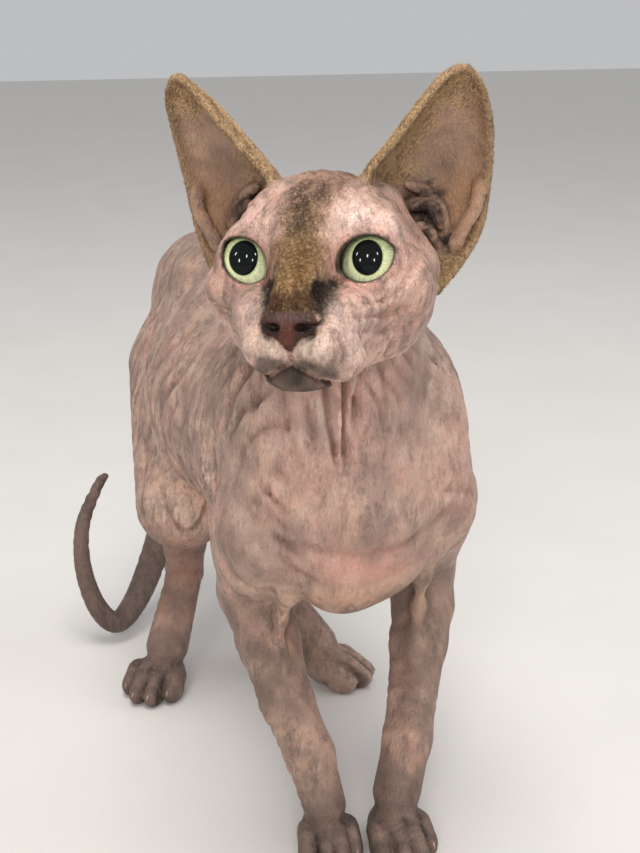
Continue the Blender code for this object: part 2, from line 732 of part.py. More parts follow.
def build():
    for ob in list(bpy.data.objects):
        bpy.data.objects.remove(ob, do_unlink=True)
    at = np.array(HEAD_AT)
    everything = trunk_with(right_foreleg, left_foreleg, right_hindleg, left_hindleg, tail)
    head = source(everything, at - 68, at + 68, HEAD_CELL, HEAD_TRIANGLES, face_detail)
    head = parted(head, [behind(NECK_TOP)])
    trunk = source(everything, (-100, -80, 60), (100, 325, 330), BODY_CELL, TRUNK_TRIANGLES)
    piece("head", head, SKIN)
    piece("neck", parted(trunk, [beyond(NECK_TOP), behind(NECK_BASE)]), GREY_SKIN)
    piece("chest", parted(trunk, [beyond(NECK_BASE), behind(CHEST_BACK), behind(RIGHT_ELBOW),
                                  behind(LEFT_ELBOW)]), SKIN)
    piece("belly", parted(trunk, [beyond(CHEST_BACK), behind(BELLY_BACK)]), SKIN)
    piece("rump", parted(trunk, [beyond(BELLY_BACK), behind(RIGHT_GROIN), behind(LEFT_GROIN),
                                 behind(TAIL_ROOT)]), SKIN)
    piece("right_thigh", parted(trunk, [beyond(BELLY_BACK), beyond(RIGHT_GROIN), behind(RIGHT_KNEE)]), SKIN)
    piece("left_thigh", parted(trunk, [beyond(BELLY_BACK), beyond(LEFT_GROIN), behind(LEFT_KNEE)]), SKIN)
    legs = [("right", right_foreleg, RIGHT_ELBOW, RIGHT_WRIST, RIGHT_FOREPAW, "forearm", "pastern", "forepaw",
             (-60, -60, -3), (10, 75, 125)),
            ("left", left_foreleg, LEFT_ELBOW, LEFT_WRIST, LEFT_FOREPAW, "forearm", "pastern", "forepaw",
             (0, -65, -3), (85, 80, 125)),
            ("right", right_hindleg, RIGHT_KNEE, RIGHT_HOCK, RIGHT_HINDPAW, "shank", "hindfoot", "hindpaw",
             (-90, 110, -3), (0, 215, 130)),
            ("left", left_hindleg, LEFT_KNEE, LEFT_HOCK, LEFT_HINDPAW, "shank", "hindfoot", "hindpaw",
             (0, 100, -3), (85, 215, 130))]
    for side, form, top, middle, low, upper_name, middle_name, paw_name, lo, hi in legs:
        leg = source(trunk_with(form), lo, hi, PAW_CELL, LEG_TRIANGLES)
        piece(side + "_" + upper_name, parted(leg, [beyond(top), behind(middle)]), GREY_SKIN)
        piece(side + "_" + middle_name, parted(leg, [beyond(middle), behind(low)]), DARK_SKIN)
        piece(side + "_" + paw_name, parted(leg, [beyond(low), behind(FLOOR)]), DARK_SKIN)
    whip = source(trunk_with(tail), (-95, 215, -2), (20, 325, 245), PAW_CELL, TAIL_TRIANGLES)
    piece("tail_root", parted(whip, [beyond(TAIL_ROOT), behind(TAIL_UPPER)]), GREY_SKIN)
    piece("tail_middle", parted(whip, [beyond(TAIL_UPPER), behind(TAIL_LOWER), behind(TAIL_INSIDE)]), GREY_SKIN)
    piece("tail_bend", parted(whip, [beyond(TAIL_LOWER), behind(TAIL_BEND)]), DARK_SKIN)
    piece("tail_tip", parted(whip, [beyond(TAIL_BEND), beyond(TAIL_INSIDE)]), DARK_SKIN)
    for side, name in ((-1, "right"), (1, "left")):
        piece(name + "_ear", without(ear_solid(side), head, GAP + 0.05), EAR_SKIN)
        piece(name + "_eye", eyeball(side), EYE_GREEN, 0.1)
    lo = np.full(3, 1e9)
    hi = -lo
    for name, mesh, colour, roughness in PIECES:
        spots = np.array([v.co for v in mesh.vertices])
        lo, hi = np.minimum(lo, spots.min(0)), np.maximum(hi, spots.max(0))
    centre = (lo + hi) / 2
    centre[2] = lo[2]
    for name, mesh, colour, roughness in PIECES:
        mesh.transform(Matrix.Scale(0.001, 4) @ Matrix.Translation(-Vector(centre)))
        ob = bpy.data.objects.new(name, mesh)
        bpy.context.scene.collection.objects.link(ob)
        mesh.name = name
        mesh.materials.clear()
        mesh.materials.append(material(name, colour, roughness))
        mesh.shade_smooth()
        mesh.set_sharp_from_angle(angle=math.radians(38))


build()
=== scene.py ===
import math
from itertools import product

import bmesh
import bpy
import numpy as np
from mathutils import Matrix, Vector
from mathutils.bvhtree import BVHTree


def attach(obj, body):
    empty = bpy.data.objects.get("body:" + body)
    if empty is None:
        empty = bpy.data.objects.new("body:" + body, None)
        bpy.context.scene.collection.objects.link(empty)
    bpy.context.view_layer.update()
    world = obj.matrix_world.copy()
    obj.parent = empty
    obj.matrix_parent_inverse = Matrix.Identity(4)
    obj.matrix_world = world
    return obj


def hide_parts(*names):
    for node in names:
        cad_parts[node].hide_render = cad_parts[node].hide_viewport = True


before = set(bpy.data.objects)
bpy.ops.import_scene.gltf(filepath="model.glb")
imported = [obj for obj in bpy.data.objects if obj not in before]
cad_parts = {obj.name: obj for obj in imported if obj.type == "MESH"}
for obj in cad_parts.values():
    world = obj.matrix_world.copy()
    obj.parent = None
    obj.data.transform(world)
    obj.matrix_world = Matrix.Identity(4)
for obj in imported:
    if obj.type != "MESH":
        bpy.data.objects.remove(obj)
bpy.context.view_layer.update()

# Shapes are in millimetres from the middle of the cat, which faces -Y; this puts them in the frame
SHIFT = np.array([5.46334, -104.81057, 0.0])

# Head and eyes
HEAD_YAW = 32.2
HEAD_PITCH = 11.0
HEAD_ROLL = -2.5
HEAD_AT = (-36.4, -61.0, 297.0)
EYE_SIDE = 22.2
EYE_RADIUS = 11.0
EYE_AIR = 0.12
CORNEA_RISE = 0.9
CORNEA_RADIUS = 8.6
GAZE_OUT = 2.0
GAZE_UP = 9.0
LID_RADIUS = 13.0
LID_SLANT = {-1: 38.0, 1: 19.5}      # outer corner higher, right and left eye
LID_INNER = {-1: 10.0, 1: 10.3}      # half width of the opening towards the nose
LID_OUTER = 10.3
LID_HALF_WIDTH = 10.3
UPPER_LID_RISE = {-1: 7.3, 1: 8.4}
LOWER_LID_DROP = {-1: 7.7, 1: 7.5}

# How softly the limbs and the head run into the trunk, and the heights of the paws' parts
LIMB_BLEND = 14.0
HEAD_BLEND = 14.0
PALM_HEIGHT = 10.3
TOE_HEIGHT = 6.5
KNUCKLE_HEIGHT = 12.0
# Toes: place across as a share of the paw's width, and how far ahead
TOES = ((-0.37, 3.5), (-0.13, 11), (0.13, 11), (0.37, 3.5))

# Ears
EAR_INNER_EDGE = [(16.5, 17, 26), (19.5, 17, 33.5), (29, 15, 44), (39.5, 14, 57), (45.5, 15, 64.5),
                  (50, 18, 68.5), (53, 21, 69.8)]
EAR_OUTER_EDGE = [(43, 37, -10), (51, 47, 1), (57.5, 52, 14), (60.5, 50, 32), (62, 42, 49), (60.5, 31, 61),
                  (57.5, 25, 67), (54.5, 22, 69.8)]
EAR_RIDGES = (((30, 42, 30, 1.4), (36, 49, 27.5, 1.8), (42, 51, 21, 1.6), (44.5, 51, 12, 1.2)),
              ((32, 44, 21.5, 1.6), (36, 46, 22.5, 1.9), (40, 48, 19.5, 1.7), (42, 49, 14, 1.2)),
              ((33, 42, 13.5, 1.5), (37.5, 44, 13, 1.6), (41, 47, 8, 1.3), (44, 48, 3, 1.0)))
# Front wall of the canal, which carries the skin of the brow up into the ear
FRONT_WALL = [(19.5, 25, 24.5, 2.6), (22, 29, 24.5, 3.0), (23.6, 33, 22.5, 3.2), (24.6, 35, 18, 3.4),
              (27.2, 35, 13, 3.8), (31.8, 35.5, 7.5, 3.8), (36.6, 37, 1.5, 3.4), (38.4, 38.5, -3, 3.0)]
EAR_POCKET = [(57.5, 49.8, 30, 0.4), (57, 48.6, 26, 0.8), (55.6, 47.6, 20, 1.0), (52.6, 47.2, 15, 1.0),
              (50, 47, 10, 0.8), (47.5, 46.5, 6, 0.4)]
POCKET_TINT = [(57.5, 49.8, 30), (55.6, 47.6, 20), (50, 47, 10), (45, 45, 0)]
RIGHT_EAR_LEAN = 2.5
EAR_SHIFT = -1.0
EAR_WALL_ROOT = 3.2
EAR_WALL_RIM = 2.5
EAR_CUP = 0.42

# Tail centre line and radius
TAIL_LINE = [(0, 276, 226, 14), (-1, 296, 202, 12), (-6, 302, 162, 10.5), (-9, 296, 112, 10.3),
             (-18, 281, 62, 9.6), (-34, 264, 32, 8.6), (-50, 246, 16.5, 7.5), (-63, 236, 13, 6.6),
             (-74, 236, 27, 6.0), (-80, 240, 52, 5.2), (-78, 245, 78, 4.4), (-66, 252, 100, 3.2),
             (-61, 254, 105, 2.4)]

# Paws: middle on the floor, turn, width
PAW_PLACES = (((-10.5, -12), -8, 30), ((22.5, -21), 2, 32), ((-53.5, 164), -40, 36), ((53, 140), 58, 34))

# Spacing of the skin's grid: head, paws, body
GRID = (0.9, 1.5, 2.15)
FAR_VALUE = 9.0         # stands for every distance away from the surface
CHUNK = 400000          # points worked out at a time
SKIN_TRIANGLES = 190000

# Fuzz: number of tufts, their length in metres, unevenness and seed
EAR_FUZZ = (13000, 0.0017, 0.32, 7)
FACE_FUZZ = (14000, 0.0019, 0.2, 11)

# Camera, in metres, and lamps: place, power, size, colour, and whether they leave the eyes out
CAMERA_AT = (-0.18524, -0.59941, 0.3880)
CAMERA_WAY = (0.32435, 0.89113, -0.31730)
CAMERA_LENS = 54.1
LAMPS = (("overhead", (-0.15, -0.3, 1.9), 22, 1.0, (1.0, 0.975, 0.93), True),
         ("front_fill", (-0.9, -2.1, 1.35), 32, 1.2, (1.0, 0.975, 0.945), True),
         ("side_fill", (1.6, -0.6, 0.9), 6, 1.0, (0.95, 0.97, 1.0), False))
# Highlights of the upright lamps on the eye, across and up, on a ball of this radius
CATCH_SPOTS = ((-3.4, 1.0), (-2.1, -1.1), (0.2, 0.2), (2.4, -1.1), (3.5, 1.1))
CATCH_CIRCLE = 9.5
CATCH_DISTANCE = 1.4


# Smooth distance fields
def blend(a, b, k):
    h = np.clip(k - np.abs(a - b), 0.0, None) / k
    return np.minimum(a, b) - h * h * k * 0.25


def carve(a, b, k):
    return -blend(-a, b, k)


def ellipsoid(p, centre, radii, turn=None):
    q = p - np.asarray(centre, np.float32)
    if turn is not None:
        q = q @ np.asarray(turn, np.float32)
    r = np.asarray(radii, np.float32)
    k0 = np.linalg.norm(q / r, axis=1)
    k1 = np.linalg.norm(q / (r * r), axis=1)
    return k0 * (k0 - 1.0) / np.maximum(k1, 1e-6)


def bone(p, a, b, ra, rb):
    a = np.asarray(a, np.float32)
    ab = np.asarray(b, np.float32) - a
    t = np.clip(((p - a) @ ab) / float(ab @ ab), 0, 1)
    q = p - a - t[:, None] * ab
    return np.linalg.norm(q, axis=1) - (ra + (rb - ra) * t)


def turn_about(axis, degrees):
    return np.array(Matrix.Rotation(math.radians(degrees), 3, Vector(axis)))


def smooth_line(points, steps):
    pts = np.asarray(points, float)
    pts = np.vstack([2 * pts[0] - pts[1], pts, 2 * pts[-1] - pts[-2]])
    out = []
    for i in range(1, len(pts) - 2):
        a, b, c, d = pts[i - 1:i + 3]
        for t in np.linspace(0, 1, steps, endpoint=False):
            out.append(0.5 * (2 * b + (c - a) * t + (2 * a - 5 * b + 4 * c - d) * t * t
                              + (3 * b - a - 3 * c + d) * t ** 3))
    out.append(pts[-2])
    return np.array(out)


def line_distance(q, rows):
    away = np.full(len(q), 1e3)
    for a, b in zip(rows[:-1], rows[1:]):
        away = np.minimum(away, bone(q, a, b, 0.0, 0.0))
    return away


class Form:
    """Distance to a body built up part by part, each read only near itself."""

    def __init__(self, p):
        self.p = p
        self.d = np.full(len(p), 60.0, np.float32)

    def near(self, lo, hi, margin):
        lo = np.asarray(lo, np.float32) - margin
        hi = np.asarray(hi, np.float32) + margin
        return np.flatnonzero(((self.p > lo) & (self.p < hi)).all(1))

    def add(self, part, lo, hi, k):
        i = self.near(lo, hi, k + 12)
        if len(i):
            self.d[i] = blend(self.d[i], part(self.p[i]), k)

    def cut(self, part, lo, hi, k):
        i = self.near(lo, hi, k + 6)
        if len(i):
            self.d[i] = carve(self.d[i], part(self.p[i]), k)

    def ball(self, centre, radii, k, turn=None):
        c = np.asarray(centre, float)
        r = max(radii)
        self.add(lambda q: ellipsoid(q, centre, radii, turn), c - r, c + r, k)

    def limb(self, a, b, ra, rb, k):
        lo = np.minimum(a, b) - max(ra, rb)
        hi = np.maximum(a, b) + max(ra, rb)
        self.add(lambda q: bone(q, a, b, ra, rb), lo, hi, k)

    def tube(self, rows, k):
        for a, b in zip(rows[:-1], rows[1:]):
            self.limb(a[:3], b[:3], a[3], b[3], k)

    def crease(self, line, width, depth, along=None):
        """Press a crease into the surface near a line; a negative depth raises a fold.

        With along (an axis number) the line is followed as seen along that axis."""
        rows = smooth_line(line, 4)
        reach = 3 * width
        lo, hi = rows.min(0), rows.max(0)
        if along is not None:
            lo[along] -= 8
            hi[along] += 8
        i = self.near(lo, hi, reach)
        i = i[np.abs(self.d[i]) < 12]
        if not len(i):
            return
        q = self.p[i].astype(float)
        if along is not None:
            q[:, along] = 0
            rows = rows.copy()
            rows[:, along] = 0
        away = np.full(len(q), 1e3)
        place = np.zeros(len(q))
        count = len(rows) - 1
        for k, (a, b) in enumerate(zip(rows[:-1], rows[1:])):
            near = bone(q, a, b, 0.0, 0.0)
            closer = near < away
            away[closer] = near[closer]
            place[closer] = (k + 0.5) / count
        fade = np.clip(np.minimum(place, 1 - place) * 5 + 0.25, 0, 1)
        self.d[i] += (depth * fade * np.exp(-(away / width) ** 2)).astype(np.float32)


def head_axes():
    """Columns: the head's left, back and up in the body's frame."""
    yaw, pitch = math.radians(HEAD_YAW), math.radians(HEAD_PITCH)
    left = np.array([math.cos(yaw), -math.sin(yaw), 0.0])
    flat = math.cos(pitch)
    back = np.array([math.sin(yaw) * flat, math.cos(yaw) * flat, -math.sin(pitch)])
    return np.stack([left, back, np.cross(left, back)], 1) @ turn_about((0, 1, 0), HEAD_ROLL)


def to_head(p):
    return ((p - np.asarray(HEAD_AT, np.float32)) @ head_axes()).astype(np.float32)


def eye_axes(side):
    return turn_about((0, 0, 1), side * GAZE_OUT) @ turn_about((1, 0, 0), -GAZE_UP)


def lid_plane(q, side):
    """Sideways (outwards) and up along the slanted lids of one eye."""
    w = q - np.array([side * EYE_SIDE, 0, 0.8])
    a = math.radians(LID_SLANT[side])
    u = w[:, 0] * side * math.cos(a) + w[:, 2] * math.sin(a)
    v = -w[:, 0] * side * math.sin(a) + w[:, 2] * math.cos(a)
    u = np.where(u < 0, u * LID_HALF_WIDTH / LID_INNER[side], u * LID_HALF_WIDTH / LID_OUTER)
    return u, v


def lid_edge(q, side):
    """Distance outwards from the edge of the lids' lemon-shaped opening, seen along the face."""
    u, v = lid_plane(q, side)
    rise, drop = UPPER_LID_RISE[side], LOWER_LID_DROP[side]
    up = (LID_HALF_WIDTH ** 2 + rise ** 2) / (2 * rise)
    down = (LID_HALF_WIDTH ** 2 + drop ** 2) / (2 * drop)
    over = np.hypot(u, v - (rise - up)) - up
    under = np.hypot(u, v + (drop - down)) - down
    return np.maximum(over, under)


def eye_opening(q, side):
    return np.maximum(lid_edge(q, side), q[:, 1] + 1.0)


MOUTH_LINES = {1: [(0, -37, -34.8), (5, -35, -37.8), (11, -30, -41.4), (17.5, -22, -42.4), (23.5, -11, -38.0),
                   (27.5, -4, -32.5), (29, -1, -29.5)],
               -1: [(0, -37, -34.8), (-4.5, -36, -37.2), (-8.5, -31, -39.6), (-13, -22, -39.2),
                    (-18.5, -10, -34.5), (-22, -3, -31)]}


def sided(line, side):
    return [(side * x, y, z) for x, y, z in line]


# Creases on both sides of the face: line, width and depth
FACE_CREASES = (
    # Wing of the nose, its edge to the whisker pad, and the step behind the leather
    (((5.4, -38, -21.9), (8.4, -35.5, -21.2), (10.4, -32, -20.4)), 0.8, 1.6),
    (((10.6, -31, -22.5), (7.6, -35, -25.2), (4.6, -37, -27.2), (2.0, -38, -29.8)), 0.8, 1.3),
    (((0, -34.5, -14.6), (5, -33, -14.8), (9.5, -30, -16.6), (11, -29.5, -20)), 0.9, 0.5),
    # Folds over and under the lids
    (((11, -9, 6), (16, -12, 12.5), (24, -10, 14.2), (32, -4, 11), (36.5, 2, 5)), 1.4, 1.1),
    (((12, -14, -8.5), (18, -13, -12.5), (26, -9, -11.5), (33, -3, -6), (36.5, 2, 0)), 1.4, 1.1),
    (((15, -15, -13), (22, -12, -16.5), (30, -6, -13.5), (36, 2, -7), (39, 9, 0)), 1.5, 0.8),
    (((14, -10, 17.5), (22, -8, 18.8), (30, -3, 16), (37, 5, 9)), 1.4, 0.7),
    # From the outer corner of the eye towards the ear, and over the cheek
    (((34.5, 0, 6), (38, 8, 8), (41, 18, 9)), 1.1, 0.8),
    (((35.5, 0, 1.5), (40, 10, 1), (43, 22, 0)), 1.2, 0.7),
    (((20, -20, -22), (27, -12, -24), (34, 2, -22), (38, 14, -18)), 1.6, 0.8),
    (((18, -22, -16), (25, -14, -18.5), (33, -3, -17), (40, 10, -12)), 1.5, 0.7))


def head_form(p):
    """The head in its own space: x left, y back, z up, from between the eyeballs."""
    f = Form(p)
    # Skull, forehead, bridge of the nose, and throat under the jaw
    f.ball((0, 30, 6), (33, 42, 28), 1)
    f.ball((0, 6, 10), (24, 20, 17), 14)
    f.limb((0, -6, 4), (0, -30, -15.5), 10.4, 7.8, 9)
    f.ball((0, 14, -22), (22, 24, 14), 12)
    for s in (-1, 1):
        # Brow, cheekbone, jaw muscle, cheek and whisker pads
        if s > 0:
            f.ball((21, 1, 11.5), (12, 10, 7), 7)
        else:
            f.ball((-18.5, 1, 8.5), (11, 10, 6.5), 6)
        f.ball((s * 30, 10, -9), (12, 20, 10), 10)
        f.ball((s * 28, 28, -13), (13.5, 22, 18), 12)
        f.ball((s * 15, -10, -19), (12, 15, 11), 9)
        pad = 9.5 if s > 0 else 8.6
        f.ball((s * pad, -23.5, -29), (pad + 2.3, 12.5, 9.3), 7)
        f.limb((s * 4, -16, -36), (s * 24, 20, -26), 7.5, 10, 8)
        f.ball((s * EYE_SIDE, 0, 0.4), (LID_RADIUS + 0.3, LID_RADIUS, LID_RADIUS + 0.3), 4)
    # Nose leather with its wings, the chin, and the upper lips hanging over the jaw
    f.ball((0, -33.5, -21.2), (8.2, 5.5, 5.4), 3)
    f.limb((0, -35.3, -23.5), (0, -36.6, -29.3), 4.2, 1.3, 1.6)
    for s in (-1, 1):
        f.ball((s * 6.8, -32.2, -20.8), (4.0, 5.2, 3.8), 2)
    f.ball((0, -22.5, -38.2), (11.5, 10.5, 6), 4)
    f.limb((3, -24, -38.6), (15, -14.5, -37.2), 5.6, 5, 3)
    f.limb((-3, -24, -38.6), (-11.5, -14.5, -36.8), 5.4, 4.6, 3)
    f.ball((14.5, -19.5, -34.2), (9.5, 10.5, 8.6), 3)
    f.ball((-9.5, -21.5, -33.4), (7.2, 9.5, 6.6), 3)
    for s in (-1, 1):
        f.crease(MOUTH_LINES[s], 1.0, 2.6, 1)
        f.cut(lambda q: ellipsoid(q, (s * 4.9, -38.8, -21.9), (2.2, 4.2, 1.6)),
              (s * 4.9 - 4, -44, -25), (s * 4.9 + 4, -34, -19), 0.8)
        for line, width, depth in FACE_CREASES:
            f.crease(sided(line, s), width, depth)
        # Rolls over the brow and between the ears
        for k in range(5):
            z, y, bow = 20 + 3.1 * k, -4 + 4.6 * k, 2.5 - 0.4 * k
            roll = [(2, y - 2, z + bow), (9, y, z + bow * 0.4), (17, y + 3, z - 2.5), (24, y + 8, z - 7)]
            f.crease(sided(roll, s), 1.2, 0.45 + 0.1 * math.sin(k * 2.4 + s))
        f.cut(lambda q: eye_opening(q, s), (s * EYE_SIDE - 15, -15, -15), (s * EYE_SIDE + 15, 15, 15), 1.1)
    f.crease([(0, -39, -28.8), (0, -38, -31.5), (0, -37, -34.8)], 0.8, 1.3, 1)
    f.crease([(0, -39, -20), (0, -39.5, -24), (0, -39, -28.8)], 0.6, 0.5)
    return f


class Ear:
    """A curved sheet given a thickness, with a rounded rim."""

    def __init__(self, side, across=41, along=57):
        self.side = side
        inner = smooth_line(EAR_INNER_EDGE, 12)
        outer = smooth_line(EAR_OUTER_EDGE, 12)

        def at(line, v):
            x = v * (len(line) - 1)
            i = min(int(x), len(line) - 2)
            return line[i] + (line[i + 1] - line[i]) * (x - i)

        length = (inner[-1] + outer[-1] - inner[0] - outer[0]) / 2
        rows = []
        for j in range(along):
            v = j / (along - 1)
            a, b = at(inner, v), at(outer, v)
            back = np.cross(b - a, length)
            back = -back / np.linalg.norm(back) if back[1] < 0 else back / np.linalg.norm(back)
            deep = EAR_CUP * np.linalg.norm(b - a) * (1 - 0.55 * v)
            u = np.linspace(0, 1, across)[:, None]
            rows.append((a + (b - a) * u + back * deep * np.sin(math.pi * u) ** 0.8) * (side, 1, 1))
        sheet = np.array(rows)
        if side < 0:
            sheet[..., 0] -= RIGHT_EAR_LEAN * np.clip(sheet[..., 2] / 70, 0, 1) ** 2
        sheet[..., 0] += EAR_SHIFT
        self.across, self.along = across, along
        flat = sheet.reshape(-1, 3)
        faces = [(j * across + i, j * across + i + 1, (j + 1) * across + i + 1, (j + 1) * across + i)
                 for j in range(along - 1) for i in range(across - 1)]
        self.tree = BVHTree.FromPolygons([tuple(v) for v in flat], faces)
        self.lo, self.hi = flat.min(0), flat.max(0)

    def read(self, q):
        """Distance to the sheet, how far across (inner to outer edge) and along, and which face (1 front)."""
        n = len(q)
        away, across, along, front = (np.full(n, 50.0, np.float32), np.zeros(n), np.zeros(n), np.zeros(n))
        cells = self.across - 1
        for k in range(n):
            place, normal, face, far = self.tree.find_nearest(Vector(q[k].tolist()), 14.0)
            if place is None:
                continue
            away[k] = far
            across[k] = (face % cells + 0.5) / cells
            along[k] = (face // cells + 0.5) / (self.along - 1)
            front[k] = 1.0 if (q[k, 1] < place.y) else 0.0
        return away, across, along, front

    def wall(self, along):
        return (EAR_WALL_ROOT + (EAR_WALL_RIM - EAR_WALL_ROOT) * np.clip(along * 1.6, 0, 1)) / 2

    def line(self, rows):
        """Points on this side of the head, from rows of x, y, z and perhaps a radius."""
        return [(self.side * row[0] + EAR_SHIFT,) + row[1:] for row in rows]

    def hollow(self, f):
        """The canal, sunk in the side of the head at the foot of the ear."""
        spots = [((36, 43, 18), (7, 8.5, 10)), ((40, 43, 6), (4.5, 6, 8)), ((31, 40, 14), (6, 5, 6))]
        if self.side < 0:
            spots.append(((37, 18, 23.5), (11, 22, 10.5)))
        for spot, radii in spots:
            c = np.array(self.line([spot])[0])
            f.cut(lambda q: ellipsoid(q, c, radii), c - 23, c + 23, 2.5)

    def join(self, f):
        i = f.near(self.lo, self.hi, 12)
        if not len(i):
            return
        away, across, along, front = self.read(f.p[i])
        d = away - self.wall(along)
        # Soft lengthwise folds on the inner face
        d = d + 0.25 * np.sin(across * 17 + along * 5) * np.clip(1 - along, 0, 1) * front
        f.d[i] = blend(f.d[i], d.astype(np.float32), 4.0)

    def folds(self, f):
        """Ridges over the canal, the notch of its front wall, and the pocket on the outer rim."""
        for line, steps, k in ((FRONT_WALL if self.side > 0 else FRONT_WALL[4:], 3, 5),
                               *((ridge, 4, 2.0) for ridge in EAR_RIDGES), (EAR_POCKET, 4, 4)):
            f.tube(smooth_line(self.line(line), steps), k)
        f.crease(self.line([(58.5, 50, 30), (58, 49, 22), (55.5, 48, 14), (53, 47, 9)]), 1.3, 1.1)
        f.crease(self.line([(54, 49, 25), (52, 48.5, 19), (49, 48, 14)]), 1.2, 0.7)


EARS = [Ear(-1), Ear(1)]


def sockets(d, p):
    for s in (-1, 1):
        r = np.linalg.norm(p - np.array([s * EYE_SIDE, 0, 0], np.float32), axis=1)
        d = np.maximum(d, (EYE_RADIUS + EYE_AIR) - r)
    return d


def paw_axes(turn):
    """Ahead, sideways and up for toes turned away from -Y towards +X."""
    a = math.radians(turn)
    return np.array([[math.sin(a), -math.cos(a), 0.0], [math.cos(a), math.sin(a), 0.0], [0, 0, 1.0]])


def paw(f, at, turn, width):
    ahead, side, up = paw_axes(turn)
    axes = np.stack([side, -ahead, up], 1)
    base = np.array([*at, 0.0])
    f.ball(base + (0, 0, PALM_HEIGHT) - ahead * 5, (width * 0.41, 17, 11), 5, axes)
    for across, forth in TOES:
        toe = base + side * width * across + ahead * forth
        f.ball(toe + (0, 0, TOE_HEIGHT), (width * 0.145, 9, 7.5), 1.2, axes)
        f.ball(toe + (0, 0, KNUCKLE_HEIGHT) - ahead * 5, (width * 0.13, 8, 6.2), 1.8, axes)
        # Wrinkles over the knuckles
        for back in (1.5, -1.5, -4.5):
            knuckle = toe + (0, 0, KNUCKLE_HEIGHT + 5.0 - abs(back + 3) * 0.5) + ahead * (back - 4)
            edge = side * width * 0.11
            f.crease([knuckle - edge, knuckle + ahead * 0.8, knuckle + edge], 0.8, 0.4, 2)


def trunk_form(p):
    f = Form(p)
    # Chest, withers, belly, loin and pelvis
    f.ball((6, 66, 184), (50, 84, 60), 1)
    f.ball((8, 6, 163), (41, 31, 41), 19)
    f.ball((9, 30, 208), (49, 40, 42), 22)
    f.ball((2, 150, 181), (55, 82, 60), 24)
    f.ball((4, 205, 214), (30, 62, 47), 24)
    f.ball((2, 246, 206), (28, 44, 46), 20)
    # Neck and shoulders
    f.limb((9, 38, 226), (-16, -6, 284), 45.5, 31, 22)
    for s in (-1, 1):
        f.ball((7 + s * 43, 26, 184), (17, 36, 48), 16)
    return f


# Legs as rods (two ends, two radii, softness) and hocks as balls (middle, radii, softness), paw by paw
LEGS = ((((-36, 10, 165), (-31, 36, 122), 20, 16.5, 4), ((-31, 36, 122), (-27, 27, 98), 16.5, 14.8, 6),
         ((-27, 27, 98), (-23, 12, 73), 14.6, 12.4, 4), ((-23, 12, 73), (-16, 0, 50), 12.4, 11.6, 4),
         ((-16, 0, 50), (-11.5, -8, 26), 11.3, 10.3, 4)),
        (((50, 12, 165), (56, 38, 120), 19, 16.5, 4), ((56, 38, 120), (56.5, 34, 100), 16.5, 15.2, 6),
         ((56.5, 34, 100), (51, 26, 84), 15, 13.8, 4), ((51, 26, 84), (34, -1, 48), 13.6, 11.3, 5),
         ((34, -1, 48), (25, -10, 26), 11.2, 11.6, 5)),
        (((-14, 222, 180), (-35, 158, 120), 34, 26, 4), ((-33, 162, 112), (-29.5, 182, 70), 15, 10.8, 8),
         ((-29.5, 191, 68), (6, 7, 9), 6), ((-29.5, 183, 64), (-44.5, 169, 27), 10.4, 12.3, 5)),
        (((16, 222, 180), (37, 158, 120), 34, 26, 4), ((35, 162, 112), (23, 180, 62), 15, 11, 8),
         ((21, 189, 60), (6, 7, 9), 6), ((22, 180, 54), (44, 154, 20), 10.6, 11.5, 6)))


def leg(p, parts, place):
    f = Form(p)
    for part in parts:
        if len(part) == 5:
            f.limb(*part)
        else:
            f.ball(*part)
    paw(f, *place)
    return f.d


def tail(p):
    f = Form(p)
    f.tube(smooth_line(TAIL_LINE, 5), 0.5)
    return f.d


# Folds of the throat: line, width and depth (a negative depth raises a fold)
THROAT_FOLDS = (
    (((-13.5, -18, 250), (-12.5, -16, 236), (-11.5, -15, 224), (-9.5, -15, 210), (-8, -16, 196)), 1.9, 3.4),
    (((-9.5, -18, 252), (-9.3, -17, 238), (-8.6, -16, 226), (-7.6, -16, 212)), 1.9, -2.6),
    (((-6.6, -18, 250), (-6.2, -16, 238), (-5.6, -15, 224), (-5.0, -16, 208), (-5.5, -17, 196)), 1.3, 4.0),
    (((-2.4, -18, 248), (-2.6, -16, 234), (-2.8, -15, 222)), 1.8, -1.8),
    (((1.5, -18, 248), (0.5, -16, 236), (-0.5, -15, 224), (-1, -15, 214)), 2.4, 2.8),
    (((-20, -16, 246), (-18.5, -15, 232), (-18, -13, 220), (-16, -13, 206)), 2.0, 1.6),
    (((-27, -12, 244), (-27, -10, 230), (-26, -9, 214), (-24, -10, 200)), 1.7, 1.3),
    (((10, -16, 246), (12, -14, 234), (12, -14, 222)), 2.0, 1.0))
ELBOW_FOLDS = ((28, 8, 2.2), (40, 11, 3.2), (52, 14, 2.4), (66, 18, 2.0), (80, 24, 1.3))
FLANK_FOLDS = ((((160, 186), (150, 164), (140, 146), (128, 134), (112, 128), (96, 134)), 2.6, 2.4),
               (((178, 160), (162, 140), (152, 122), (147, 108)), 2.4, 1.8),
               (((132, 170), (120, 150), (104, 142)), 2.0, 1.4),
               (((112, 186), (104, 168), (92, 156), (80, 152)), 2.0, 1.2))
# Tongues of skin from the armpits down the forelegs
ARM_TONGUES = (((-23, -3, 146, 4.5), (-25.5, 3, 132, 2.8), (-26, 10, 118, 2.0), (-27.5, 11, 104, 1.2),
                (-27, 9, 92, 0.6)),
               ((42, 2, 146, 4.5), (45.5, 12, 126, 2.6), (46.5, 18, 108, 1.9), (45.5, 16, 94, 1.2),
                (41, 8, 78, 0.6)))


